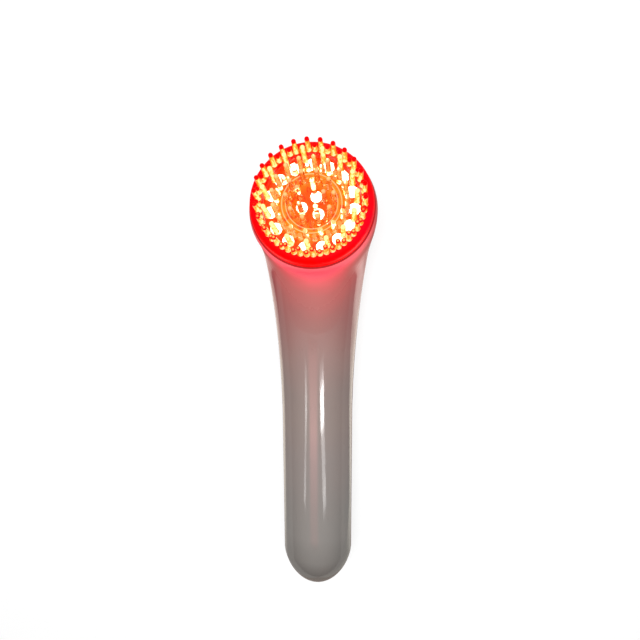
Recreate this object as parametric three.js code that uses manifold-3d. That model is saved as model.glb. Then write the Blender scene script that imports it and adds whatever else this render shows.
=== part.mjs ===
// Handheld light and brush device for the face: a straight round handle that flares into a
// tilted head, a lift-off ring of soft pins round a clear window, and a circle of lamps below it.
// Millimetres, +Z up. The device lies on its flattened back, with the handle along Y and the
// head at the +Y end, and its light face looks up and a little forward.

import * as THREE from "three";
import { mergeVertices } from "three/addons/utils/BufferGeometryUtils.js";
import Module from "manifold-3d";

const wasm = await Module();
wasm.setup();

const degrees = THREE.MathUtils.degToRad;

// Fits and working clearances
const gap = 0.3; // between pieces that touch
const overrun = 6; // how far a cutting tool passes the stock

// Handle
const backFlat = 1; // depth of the flat that the device lies on
const endLength = 21; // rounded end of the handle
const endPower = 1.6; // under 2 is a little more pointed than an ellipse
const flareBeforeFace = 111; // start of the flare, ahead of the face's centre
const flareLength = 95;
const flareWide = 8.2; // gain of the half width over the flare
const flareHigh = 2.2; // gain of the half height over the flare
const riseBeforeFace = 55; // start of the back's rise, ahead of the face's centre
const backRiseLength = 59;
const backRise = 11; // how far the back lifts under the head
const wall = 2.2;
const leadRoom = 5.6; // beside the cradle, inside the wall

// Head, measured from the centre of the lamp circle: "height" runs along the tilted face's axis
const faceRise = 30; // above the handle's axis
const faceTilt = degrees(14);
const lipWidth = 1.6; // the head's widest circle outside the ring
const bulbDrop = 7; // widest circle of the head, below the lamp tops
const bulbAbove = 19; // half axis of the bulb over its widest circle
const bulbBelow = 29; // half axis of the bulb under it
const blendReach = 9; // soft join of handle and bulb
const tubeInset = 15; // the handle's form starts to close this far before the face's centre
const tubeCapLength = 25;

// Brush ring with its outer row of pins
const ringWall = 2.65; // outside the window's seat
const ringTop = 5.1;
const ringBottom = -2;
const ringShoulder = 3; // outer rounding
const ringEdge = 0.6; // inner rounding
const rowOuterInset = 1.4; // outer row, from the ring's opening
const rowOuterCount = 26;
const rowOuterTurn = degrees(162.6);

// Window with its inner rows of pins
const windowBottom = 0.3;
const windowThickness = 1.2;
const ridgeInner = 10.9;
const ridgeOuter = 14;
const ridgeHeight = 1.1;
const rowSecondInset = 2; // second row, from the ring's opening
const rowThirdRadius = 15.75;
const rowFourthRadius = 10.05;
const rowCentreRadius = 5.9;

// Pins
const pinTipHeight = 16; // all long tips lie in one plane
const pinBaseRadius = 1.15;
const pinTipRadius = 0.95;
const shortRingPin = 5; // above the ring's top
const shortWindowPin = 5.4; // above the window's top
const pinRoot = 0.6; // how deep a pin is rooted in its plate
const pinSides = 5;

// Lamp chamber in the head
const spigotWall = 1.1;
const deckThickness = 2;
const sealThickness = 1.3;
const ledgeWidth = 1.9; // seat of the lamp board
const ledgeThickness = 1.5;
const boardThickness = 1.6;
const lampHeight = 6.1;
const lampRadius = 2.4;
const lampFlange = 2.7;
const lampFlangeHeight = 0.8;
const lampCircleRadius = 18.7;
const lampRoom = 0.8; // lamp flange to the spigot's bore
const lampCircleCount = 15;
const lampCircleTurn = degrees(92.25);
const centreLampRadius = 4.8;
const centreLampCount = 3;
const centreLampTurn = degrees(68.2);
const trayThickness = 1.2;
const trayTop = -1.8;
const trayHoleSlack = 0.25;
const trayLegRadius = 1.5;
const trayLegCount = 3;

// Battery and its cradle
const batteryRadius = 9;
const batteryLength = 50;
const terminalRadius = 3;
const terminalHeight = 1;
const cradleWall = 1.2;
const cradleInset = 4; // shorter than the battery at each end

// Charging contacts and their board
const contactRadius = 2;
const contactInset = 0.2; // above the face that the device lies on
const contactFlange = 3;
const contactFlangeThickness = 0.8;
const contactSeat = 0.6; // flange above the inner skin
const contactTailRadius = 0.8;
const contactTail = 0.8;
const endRoom = 4; // the first contact after the rounded end
const contactSpacing = 9;
const contactCount = 2;
const chargeBoardWidth = 12;

// Control board, its screws and the button
const mainBoardWidth = 24;
const mainBoardLength = 48;
const mainBoardHeight = 9.3;
const boardPostRadius = 2.6;
const boardPostInset = 5;
const boardScrewRadius = 0.8;
const boardScrewHead = 1.8;
const boardScrewHeadHeight = 1.3;
const boardScrewLength = 5;
const boardScrewHole = 1.15;
const chipSize = 7;
const chipHeight = 1;
const chipOffset = 7;
const switchSize = 6.2;
const switchHeight = 3;
const plungerRadius = 1.5;
const plungerBore = 1.9;
const plungerStand = 1.1; // how far the plunger stands out of the switch
const plungerHidden = 1.2;
const buttonTravel = 0.7;
const buttonRadius = 5.5;
const buttonInset = 0.5; // below the face that the device lies on, so that lying down does not press it
const buttonFlange = 6.6;
const buttonFlangeSeat = 2.95;
const buttonFlangeThickness = 1;
const buttonNubRadius = 1.6;

// Screws that hold the two half shells
const screwRadius = 1.15;
const screwHole = 1.45;
const screwHeadRadius = 2.4;
const screwHeadHeight = 1.6;
const screwCover = 3.5; // from the outer skin to the seat of the head
const screwGrip = 6.5; // how far the screw enters the front boss
const rearBossWall = 1.5;
const frontBossWall = 1.75;
const neckScrewAside = 16.5;

// Vibration motor
const motorRadius = 5;
const motorLength = 18;
const pedestalHeight = 3.4; // from the inner skin to the motor's bracket
const shaftRadius = 0.75;
const shaftBore = 1.05;
const shaftHidden = 3;
const shaftLength = 11;
const weightRadius = 4.4;
const weightHub = 2;
const weightLength = 5;
const weightStart = 1.5; // from the motor's face
const bracketWall = 1.6;
const bracketLength = 9;
const bracketFootWidth = 18;
const bracketFootThickness = 2;

// Rooms between the pieces in a row along the handle
const cellRoom = 0.8; // each side of the end screw's boss
const bossRoom = 1.8; // each side of the middle screw's boss
const motorRoom = 5; // control board to motor
const faceRoom = 24; // motor to the face's centre

// Leads
const leadRadius = 0.6;
const leadSides = 6;

// Mesh fineness
const skinMesh = { around: 32, endRings: 6, flareRings: 6, neckRings: 10, headRings: 10 };
const hollowMesh = { around: 24, endRings: 4, flareRings: 4, neckRings: 6, headRings: 7 };
const aroundHead = 36;
const aroundSmall = 12;
const aroundLamp = 8;

// Sizes that follow from others
const handleRadius = batteryRadius + gap + cradleWall + gap + leadRoom + wall;
const spigotInner = lampCircleRadius + lampFlange + lampRoom;
const spigotOuter = spigotInner + spigotWall;
const ledgeInner = spigotInner - ledgeWidth;
const windowRadius = spigotOuter + gap / 2 + sealThickness;
const ringBore = windowRadius + gap;
const ringRadius = ringBore + ringWall;
const ringOpening = spigotInner - gap;
const rowOuterRadius = ringOpening + rowOuterInset;
const rowSecondRadius = ringOpening - rowSecondInset;
const bulbRadius = ringRadius + lipWidth;
const trayLegCircle = (lampCircleRadius + centreLampRadius) / 2;
const screwWell = screwHeadRadius + gap;
const rearBossRadius = screwWell + rearBossWall;
const frontBossRadius = screwHole + frontBossWall;

// Places along the handle, each found from the one before it
const contactStart = endLength + endRoom;
const contactPlaces = Array.from({ length: contactCount }, (_, i) => contactStart + i * contactSpacing);
const chargeBoardMiddle = (contactPlaces[0] + contactPlaces.at(-1)) / 2;
const chargeBoardLength = contactPlaces.at(-1) - contactPlaces[0] + 2 * contactFlange;
const endScrewAlong = chargeBoardMiddle + chargeBoardLength / 2 + cellRoom + rearBossRadius;
const batteryStart = endScrewAlong + rearBossRadius + cellRoom;
const middleScrewAlong = batteryStart + batteryLength + terminalHeight + bossRoom + rearBossRadius;
const mainBoardStart = middleScrewAlong + rearBossRadius + bossRoom;
const buttonAlong = mainBoardStart + mainBoardLength / 2;
const motorStart = mainBoardStart + mainBoardLength + motorRoom;
const motorMiddle = motorStart + motorLength / 2; // the neck screws stand beside it
const faceAlong = motorStart + motorLength + faceRoom;
const flareStart = faceAlong - flareBeforeFace;
const backRiseStart = faceAlong - riseBeforeFace;

// Heights and the face's frame
const axisHeight = handleRadius - backFlat; // of the straight handle, and of the parting plane
const faceHeight = axisHeight + faceRise;
const lipHeight = ringBottom - gap; // top of the housing, in the head's heights
const windowTop = windowBottom + windowThickness;
const boardTop = -lampHeight - gap;
const boardBottom = boardTop - boardThickness;
const ledgeTop = boardBottom - gap;
const skinFloor = wall - backFlat; // inner skin over the flat back
const faceCentre = new THREE.Vector3(0, faceAlong, faceHeight);
const faceAxis = new THREE.Vector3(0, Math.sin(faceTilt), Math.cos(faceTilt));
const bulbCentre = faceCentre.clone().addScaledVector(faceAxis, -bulbDrop);
const headMatrix = new THREE.Matrix4().makeRotationX(-faceTilt).setPosition(faceCentre);

// Materials

function plastic(color, roughness) {
  return new THREE.MeshStandardMaterial({ color, roughness, metalness: 0 });
}

function metal(color, roughness) {
  return new THREE.MeshStandardMaterial({ color, roughness, metalness: 1 });
}

const shellPlastic = plastic(0xb4a8a4, 0.25);
const ringRubber = plastic(0xe80810, 0.3);
const windowRubber = plastic(0xff7a18, 0.2);
const sealRubber = plastic(0x2a2a2c, 0.7);
const lampClear = plastic(0xfff6e0, 0.1);
const trayPlastic = plastic(0xff5a10, 0.5);
const boardGreen = plastic(0x1f5a3a, 0.5);
const chipBlack = plastic(0x18181a, 0.5);
const switchPlastic = plastic(0x333338, 0.5);
const cradlePlastic = plastic(0xd8d8d4, 0.6);
const batterySleeve = plastic(0x2f6fb0, 0.4);
const leadRed = plastic(0xb02020, 0.5);
const leadBlack = plastic(0x202022, 0.5);
const leadWhite = plastic(0xe4e4e0, 0.5);
const steel = metal(0xb8bcc0, 0.35);
const gold = metal(0xd8b060, 0.3);

// Solids

function solidOf(geometry) {
  const bare = new THREE.BufferGeometry();
  const source = geometry.index ? geometry.toNonIndexed() : geometry;
  bare.setAttribute("position", source.getAttribute("position"));
  const merged = mergeVertices(bare, 1e-4);
  const corners = merged.index.array;
  const kept = [];
  for (let i = 0; i < corners.length; i += 3) {
    const [a, b, c] = corners.slice(i, i + 3);
    if (a !== b && b !== c && c !== a) kept.push(a, b, c);
  }
  return new wasm.Manifold(
    new wasm.Mesh({
      numProp: 3,
      vertProperties: new Float32Array(merged.attributes.position.array),
      triVerts: new Uint32Array(kept),
    }),
  );
}

function meshOf(name, solid, material) {
  const made = solid.getMesh();
  const geometry = new THREE.BufferGeometry();
  geometry.setAttribute("position", new THREE.BufferAttribute(made.vertProperties, 3));
  geometry.setIndex(new THREE.BufferAttribute(made.triVerts, 1));
  const flat = geometry.toNonIndexed();
  flat.computeVertexNormals();
  const mesh = new THREE.Mesh(flat, material);
  mesh.name = name;
  return mesh;
}

// A turned piece about Z from points [radius, height], listed so that its faces point out.
function turned(points, sides = aroundSmall) {
  const profile = points.map(([radius, height]) => new THREE.Vector2(radius, height));
  return new THREE.LatheGeometry(profile, sides).rotateX(Math.PI / 2);
}

function rod(radius, bottom, top, sides = aroundSmall) {
  return turned([[0, bottom], [radius, bottom], [radius, top], [0, top]], sides);
}

function tube(inner, outer, bottom, top, sides = aroundHead) {
  return turned([[inner, bottom], [outer, bottom], [outer, top], [inner, top], [inner, bottom]], sides);
}

function block(width, length, bottom, top) {
  return new THREE.BoxGeometry(width, length, top - bottom).translate(0, 0, (bottom + top) / 2);
}

// A quarter round of a profile, from one direction to another about a centre.
function arc(centreRadius, centreHeight, radius, from, to, steps) {
  const points = [];
  for (let i = 0; i <= steps; i++) {
    const angle = degrees(from + ((to - from) * i) / steps);
    points.push([centreRadius + radius * Math.cos(angle), centreHeight + radius * Math.sin(angle)]);
  }
  return points;
}

function inHead(geometry) {
  return geometry.applyMatrix4(headMatrix);
}

// Outer form of the body

const clampLow = (value) => Math.max(0, value);

function tubeAt(y) {
  const flare = clampLow((y - flareStart) / flareLength) ** 2;
  const lift = clampLow((y - backRiseStart) / backRiseLength) ** 2;
  const halfHeight = handleRadius + flareHigh * flare;
  return {
    halfWidth: handleRadius + flareWide * flare,
    halfHeight,
    height: -backFlat + backRise * lift + halfHeight,
  };
}

// Negative inside, about the distance in millimetres near the skin.
function bodyField(x, y, z) {
  const section = tubeAt(y);
  const ends =
    clampLow((endLength - y) / endLength) ** endPower +
    clampLow((y - faceAlong + tubeInset) / tubeCapLength) ** 2;
  const across = (x / section.halfWidth) ** 2 + ((z - section.height) / section.halfHeight) ** 2;
  const handle = (Math.sqrt(across + ends) - 1) * section.halfWidth;

  const offset = new THREE.Vector3(x, y, z).sub(bulbCentre);
  const height = offset.dot(faceAxis);
  const radiusSquared = clampLow(offset.lengthSq() - height * height);
  const halfAxis = height > 0 ? bulbAbove : bulbBelow;
  const bulb = (Math.sqrt(radiusSquared / bulbRadius ** 2 + (height / halfAxis) ** 2) - 1) * bulbRadius;

  const mix = THREE.MathUtils.clamp((1 + (handle - bulb) / blendReach) / 2, 0, 1);
  return handle * (1 - mix) + bulb * mix - blendReach * mix * (1 - mix);
}

// Middle of the section at y: on the handle's axis, then up into the bulb.
function coreHeight(y) {
  const share = THREE.MathUtils.smoothstep(y, flareStart + flareLength - 2 * tubeInset, faceAlong);
  const fall = clampLow(y - bulbCentre.y) * Math.tan(faceTilt) * (1 - bulbAbove ** 2 / bulbRadius ** 2);
  return THREE.MathUtils.lerp(tubeAt(y).height, bulbCentre.z - fall, share);
}

// The value between two ends where a rising function crosses zero.
function crossing(low, high, rising) {
  for (let i = 0; i < 40; i++) {
    const middle = (low + high) / 2;
    if (rising(middle) < 0) low = middle;
    else high = middle;
  }
  return (low + high) / 2;
}

// Closed body at a depth under the skin, as rings of points across Y. The rings stand closest at
// the neck, where the head's wall rises steeply out of the handle.
function bodyAt(depth, { around, endRings, flareRings, neckRings, headRings }) {
  const core = (y) => bodyField(0, y, coreHeight(y)) + depth;
  const first = crossing(0, endLength, (y) => -core(y));
  const last = crossing(faceAlong, faceAlong + 2 * bulbRadius, core);
  const neckStart = bulbCentre.y - bulbRadius - blendReach / 2;
  const headStart = neckStart + 2 * blendReach;
  const stations = [];
  for (let i = 1; i < endRings; i++) {
    stations.push(first + (endLength - first) * (1 - Math.cos((Math.PI / 2) * (i / endRings))));
  }
  stations.push(endLength);
  for (let i = 0; i < flareRings; i++) {
    stations.push(flareStart + ((neckStart - flareStart) * i) / flareRings);
  }
  for (let i = 0; i < neckRings; i++) {
    stations.push(neckStart + ((headStart - neckStart) * i) / neckRings);
  }
  for (let i = 0; i < headRings; i++) {
    stations.push(headStart + (last - headStart) * Math.sin((Math.PI / 2) * (i / headRings)));
  }
  const positions = [0, first, coreHeight(first)];
  for (const y of stations) {
    const z = coreHeight(y);
    for (let k = 0; k < around; k++) {
      const angle = (2 * Math.PI * k) / around;
      const [dx, dz] = [Math.cos(angle), Math.sin(angle)];
      const reach = crossing(0, 2 * bulbRadius, (r) => bodyField(dx * r, y, z + dz * r) + depth);
      positions.push(dx * reach, y, z + dz * reach);
    }
  }
  positions.push(0, last, coreHeight(last));
  const lastIndex = positions.length / 3 - 1;
  const corner = (ring, k) => 1 + ring * around + (k % around);
  const lastRing = stations.length - 1;
  const faces = [];
  for (let k = 0; k < around; k++) {
    faces.push(0, corner(0, k), corner(0, k + 1));
    for (let ring = 0; ring < lastRing; ring++) {
      faces.push(corner(ring, k), corner(ring + 1, k), corner(ring + 1, k + 1));
      faces.push(corner(ring, k), corner(ring + 1, k + 1), corner(ring, k + 1));
    }
    faces.push(lastIndex, corner(lastRing, k + 1), corner(lastRing, k));
  }
  const geometry = new THREE.BufferGeometry();
  geometry.setAttribute("position", new THREE.Float32BufferAttribute(positions, 3));
  geometry.setIndex(faces);
  return solidOf(geometry);
}

// Outer skin straight below a place, for what is sunk into the back.
function skinBelow(x, y) {
  const z = coreHeight(y);
  return Math.max(0, z - crossing(0, 2 * bulbRadius, (r) => bodyField(x, y, z - r)));
}

// A block that holds all of the body on one side of a height.
function halfSpace(bottom, top) {
  const length = 2 * (faceAlong + bulbRadius);
  return solidOf(block(length, 2 * length, bottom, top));
}

const bodyTop = faceHeight + bulbRadius;
const fullBody = bodyAt(0, skinMesh).intersect(halfSpace(0, bodyTop));
const hollow = bodyAt(wall, hollowMesh);
const skin = fullBody.subtract(hollow);

// Screw places shared by both shells and the screws
const shellScrews = [
  [0, endScrewAlong],
  [0, middleScrewAlong],
  [-neckScrewAside, motorMiddle],
  [neckScrewAside, motorMiddle],
].map(([x, y]) => ({ x, y, seat: skinBelow(x, y) + screwCover }));

const boardScrewPlaces = [
  mainBoardStart + boardPostInset,
  mainBoardStart + mainBoardLength - boardPostInset,
];
const bracketBottom = skinBelow(0, motorMiddle) + wall + pedestalHeight;
const motorHeight = bracketBottom + bracketWall + gap + motorRadius;

function at(geometry, x, y) {
  return solidOf(geometry.translate(x, y, 0));
}

function frontShell() {
  const deckBand = solidOf(inHead(rod(2 * bulbRadius, lipHeight - deckThickness, lipHeight, aroundHead)));
  const overLip = solidOf(inHead(rod(2 * bulbRadius, lipHeight, lipHeight + 2 * bulbRadius, aroundHead)));
  const wellMiddle = (spigotOuter + spigotInner) / 2;
  const opening = solidOf(inHead(rod(wellMiddle, lipHeight - deckThickness - overrun, ringTop, aroundHead)));
  const ledgeBottom = ledgeTop - ledgeThickness;
  const well = solidOf(
    inHead(
      turned(
        [
          [ledgeInner, ledgeBottom],
          [spigotOuter, ledgeBottom],
          [spigotOuter, 0],
          [spigotInner, 0],
          [spigotInner, ledgeTop],
          [ledgeInner, ledgeTop],
          [ledgeInner, ledgeBottom],
        ],
        aroundHead,
      ),
    ),
  );
  const parting = axisHeight + gap / 2;
  const bosses = shellScrews.map(({ x, y }) => at(rod(frontBossRadius, parting, bodyTop), x, y));
  const holes = shellScrews.map(({ x, y }) =>
    at(rod(screwHole, parting - overrun, parting + screwGrip + gap), x, y),
  );
  const above = halfSpace(parting, bodyTop);
  const deck = fullBody.intersect(deckBand);
  const columns = wasm.Manifold.union(bosses).intersect(fullBody);
  return skin
    .add(columns)
    .intersect(above)
    .add(deck)
    .subtract(overLip)
    .subtract(opening)
    .add(well)
    .subtract(wasm.Manifold.union(holes));
}

function rearShell() {
  const parting = axisHeight - gap / 2;
  const below = halfSpace(0, parting);
  const bosses = shellScrews.map(({ x, y }) => at(rod(rearBossRadius, 0, parting), x, y));
  const posts = boardScrewPlaces.map((y) =>
    at(rod(boardPostRadius, skinBelow(0, y) + wall / 2, mainBoardHeight - gap), 0, y),
  );
  const pedestal = at(
    block(bracketFootWidth, bracketLength, skinBelow(0, motorMiddle) + wall / 2, bracketBottom - gap),
    0,
    motorMiddle,
  );
  const added = wasm.Manifold.union([...bosses, ...posts, pedestal]).intersect(fullBody);
  const cuts = [
    ...shellScrews.map(({ x, y, seat }) => at(rod(screwWell, -overrun, seat), x, y)),
    ...shellScrews.map(({ x, y }) => at(rod(screwHole, 0, parting + overrun), x, y)),
    ...boardScrewPlaces.map((y) =>
      at(rod(boardScrewHole, mainBoardHeight - boardScrewLength, mainBoardHeight), 0, y),
    ),
    ...contactPlaces.map((y) => at(rod(contactRadius + gap, -overrun, overrun), 0, y)),
    at(rod(buttonRadius + gap, -overrun, buttonFlangeSeat, 2 * aroundSmall), 0, buttonAlong),
  ];
  return skin.intersect(below).add(added).subtract(wasm.Manifold.union(cuts));
}

// Pins

function pinGeometry(root, top, domeSteps) {
  const dome = arc(0, top - pinTipRadius, pinTipRadius, 0, 90, domeSteps);
  return turned([[0, root], [pinBaseRadius, root], ...dome], pinSides);
}

function circlePlaces(radius, count, turn) {
  return Array.from({ length: count }, (_, i) => {
    const angle = turn - (2 * Math.PI * i) / count;
    return [radius * Math.cos(angle), radius * Math.sin(angle)];
  });
}

// Long pins on a circle and, where asked for, a short one half way to the next.
function pinRow({ radius, count, turn, shortPin }, plateTop) {
  const root = plateTop - pinRoot;
  const pins = circlePlaces(radius, count, turn).map(([x, y]) =>
    at(pinGeometry(root, pinTipHeight, 2), x, y),
  );
  if (shortPin) {
    const between = turn - Math.PI / count;
    circlePlaces(radius, count, between).forEach(([x, y]) =>
      pins.push(at(pinGeometry(root, plateTop + shortPin, 1), x, y)),
    );
  }
  return pins;
}

function brushRing() {
  const ring = solidOf(
    turned(
      [
        [ringBore, ringBottom],
        [ringRadius, ringBottom],
        ...arc(ringRadius - ringShoulder, ringTop - ringShoulder, ringShoulder, 0, 90, 4),
        ...arc(ringOpening + ringEdge, ringTop - ringEdge, ringEdge, 90, 180, 2),
        [ringOpening, windowTop + gap],
        [ringBore, windowTop + gap],
        [ringBore, ringBottom],
      ],
      aroundHead,
    ),
  );
  const row = { radius: rowOuterRadius, count: rowOuterCount, turn: rowOuterTurn, shortPin: shortRingPin };
  return wasm.Manifold.union([ring, ...pinRow(row, ringTop)]);
}

function brushWindow() {
  const ridgeMiddle = (ridgeInner + ridgeOuter) / 2;
  const plate = solidOf(
    turned(
      [
        [0, windowBottom],
        [windowRadius, windowBottom],
        [windowRadius, windowTop],
        [ridgeOuter, windowTop],
        [ridgeMiddle, windowTop + ridgeHeight],
        [ridgeInner, windowTop],
        [0, windowTop],
      ],
      aroundHead,
    ),
  );
  const rows = [
    { radius: rowSecondRadius, count: 15, turn: degrees(99.1) },
    { radius: rowThirdRadius, count: 16, turn: degrees(107), shortPin: shortWindowPin },
    { radius: rowFourthRadius, count: 10, turn: degrees(110), shortPin: shortWindowPin },
    { radius: rowCentreRadius, count: 5, turn: degrees(152) },
  ];
  return wasm.Manifold.union([plate, ...rows.flatMap((row) => pinRow(row, windowTop))]);
}

function headSeal() {
  const half = sealThickness / 2;
  const middle = (spigotOuter + ringBore) / 2;
  return solidOf(turned(arc(middle, lipHeight + gap + half, half, 0, 360, 6), aroundHead));
}

// Lamps and what carries them

function lamp() {
  const shoulder = -lampRadius;
  const bottom = -lampHeight;
  return turned(
    [
      [0, bottom],
      [lampFlange, bottom],
      [lampFlange, bottom + lampFlangeHeight],
      [lampRadius, bottom + lampFlangeHeight],
      ...arc(0, shoulder, lampRadius, 0, 90, 3),
    ],
    aroundLamp,
  );
}

const lampPlaces = [
  ...circlePlaces(lampCircleRadius, lampCircleCount, lampCircleTurn).map(([x, y], i) => ({
    name: `lamp_outer_${String(i + 1).padStart(2, "0")}`,
    x,
    y,
  })),
  ...circlePlaces(centreLampRadius, centreLampCount, centreLampTurn).map(([x, y], i) => ({
    name: `lamp_centre_${i + 1}`,
    x,
    y,
  })),
];

function lightTray() {
  const bottom = trayTop - trayThickness;
  const disc = solidOf(rod(spigotInner - gap, bottom, trayTop, aroundHead));
  const legs = circlePlaces(trayLegCircle, trayLegCount, lampCircleTurn).map(([x, y]) =>
    at(rod(trayLegRadius, boardTop + gap, trayTop - trayThickness / 2), x, y),
  );
  const holes = lampPlaces.map(({ x, y }) =>
    at(rod(lampRadius + trayHoleSlack, bottom - gap, trayTop + gap, aroundLamp), x, y),
  );
  return wasm.Manifold.union([disc, ...legs]).subtract(wasm.Manifold.union(holes));
}

// Pieces of the handle

const batteryHeight = skinFloor + gap + cradleWall + gap + batteryRadius;

function battery() {
  return turned(
    [
      [0, batteryStart],
      [batteryRadius, batteryStart],
      [batteryRadius, batteryStart + batteryLength],
      [terminalRadius, batteryStart + batteryLength],
      [terminalRadius, batteryStart + batteryLength + terminalHeight],
      [0, batteryStart + batteryLength + terminalHeight],
    ],
    2 * aroundSmall,
  )
    .rotateX(-Math.PI / 2)
    .translate(0, 0, batteryHeight);
}

function batteryCradle() {
  const inner = batteryRadius + gap;
  const outer = inner + cradleWall;
  const outline = new THREE.Shape();
  outline.absarc(0, 0, outer, Math.PI, 2 * Math.PI, false);
  outline.absarc(0, 0, inner, 2 * Math.PI, Math.PI, true);
  const length = batteryLength - 2 * cradleInset;
  return new THREE.ExtrudeGeometry(outline, { depth: length, bevelEnabled: false, curveSegments: aroundSmall })
    .rotateX(Math.PI / 2)
    .translate(0, batteryStart + cradleInset + length, batteryHeight);
}

const contactFlangeBottom = skinFloor + contactSeat;
const contactTop = contactFlangeBottom + contactFlangeThickness + contactTail;
const chargeBoardBottom = contactTop + gap;
const chargeBoardTop = chargeBoardBottom + boardThickness;

function chargingContact() {
  return turned([
    [0, contactInset],
    [contactRadius, contactInset],
    [contactRadius, contactFlangeBottom],
    [contactFlange, contactFlangeBottom],
    [contactFlange, contactFlangeBottom + contactFlangeThickness],
    [contactTailRadius, contactFlangeBottom + contactFlangeThickness],
    [contactTailRadius, contactTop],
    [0, contactTop],
  ]);
}

const mainBoardTop = mainBoardHeight + boardThickness;
const switchBottom = mainBoardHeight - gap - switchHeight;
const plungerBottom = switchBottom - plungerStand;
const buttonFlangeTop = buttonFlangeSeat + buttonFlangeThickness;

function mainBoard() {
  const sheet = at(block(mainBoardWidth, mainBoardLength, mainBoardHeight, mainBoardTop), 0, buttonAlong);
  const holes = boardScrewPlaces.map((y) =>
    at(rod(boardScrewHole, mainBoardHeight - overrun, mainBoardTop + overrun), 0, y),
  );
  return sheet.subtract(wasm.Manifold.union(holes));
}

function boardScrew() {
  const seat = mainBoardTop + gap;
  return turned([
    [0, seat - boardScrewLength],
    [boardScrewRadius, seat - boardScrewLength],
    [boardScrewRadius, seat],
    [boardScrewHead, seat],
    [boardScrewHead, seat + boardScrewHeadHeight],
    [0, seat + boardScrewHeadHeight],
  ]);
}

function tactSwitch() {
  const body = at(block(switchSize, switchSize, switchBottom, switchBottom + switchHeight), 0, buttonAlong);
  const boreTop = switchBottom + plungerHidden + buttonTravel + gap;
  return body.subtract(at(rod(plungerBore, switchBottom - overrun, boreTop), 0, buttonAlong));
}

function buttonCap() {
  return turned(
    [
      [0, buttonInset],
      [buttonRadius, buttonInset],
      [buttonRadius, buttonFlangeSeat],
      [buttonFlange, buttonFlangeSeat],
      [buttonFlange, buttonFlangeTop],
      [buttonNubRadius, buttonFlangeTop],
      [buttonNubRadius, plungerBottom - gap],
      [0, plungerBottom - gap],
    ],
    2 * aroundSmall,
  );
}

function shellScrew(seat) {
  const head = seat - gap;
  const tip = axisHeight + screwGrip;
  return turned([
    [0, head - screwHeadHeight],
    [screwHeadRadius, head - screwHeadHeight],
    [screwHeadRadius, head],
    [screwRadius, head],
    [screwRadius, tip],
    [0, tip],
  ]);
}

// Motor, in its own frame: the shaft along Y, the origin on the shaft at the motor's back

function motorCan() {
  return turned([
    [0, 0],
    [motorRadius, 0],
    [motorRadius, motorLength],
    [shaftBore, motorLength],
    [shaftBore, motorLength - shaftHidden],
    [0, motorLength - shaftHidden],
  ]).rotateX(-Math.PI / 2);
}

function motorShaft() {
  const start = motorLength - shaftHidden + gap;
  return rod(shaftRadius, start, start + shaftLength).rotateX(-Math.PI / 2);
}

function eccentricWeight() {
  const outline = new THREE.Shape();
  outline.absarc(0, 0, weightRadius, Math.PI, 2 * Math.PI, false);
  outline.absarc(0, 0, weightHub, 0, Math.PI, false);
  const bore = new THREE.Path();
  bore.absarc(0, 0, shaftBore, 0, 2 * Math.PI, true);
  outline.holes.push(bore);
  return new THREE.ExtrudeGeometry(outline, {
    depth: weightLength,
    bevelEnabled: false,
    curveSegments: aroundSmall,
  })
    .rotateX(Math.PI / 2)
    .translate(0, motorLength + weightStart + weightLength, 0);
}

function motorBracket() {
  const inner = motorRadius + gap;
  const outer = inner + bracketWall;
  const foot = block(bracketFootWidth, bracketLength, -outer, -outer + bracketFootThickness);
  const ring = tube(inner, outer, -bracketLength / 2, bracketLength / 2, 2 * aroundSmall).rotateX(Math.PI / 2);
  const bore = rod(inner, -bracketLength, bracketLength, 2 * aroundSmall).rotateX(Math.PI / 2);
  return solidOf(foot).subtract(solidOf(bore)).add(solidOf(ring)).translate([0, motorLength / 2, 0]);
}

// Leads, each a soft tube along a route of hand-set places

const overBoard = mainBoardTop + gap + leadRadius;
const besideBoss = 2 * rearBossRadius;
const besideCradle = batteryRadius + gap + cradleWall + 2 * leadRadius + gap;
const batteryEnd = batteryStart + batteryLength + terminalHeight + gap;
const boardEnd = mainBoardStart + mainBoardLength;

function underHead(x, y, drop) {
  const place = new THREE.Vector3(x, y, boardBottom - drop).applyMatrix4(headMatrix);
  return place.toArray();
}

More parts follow.
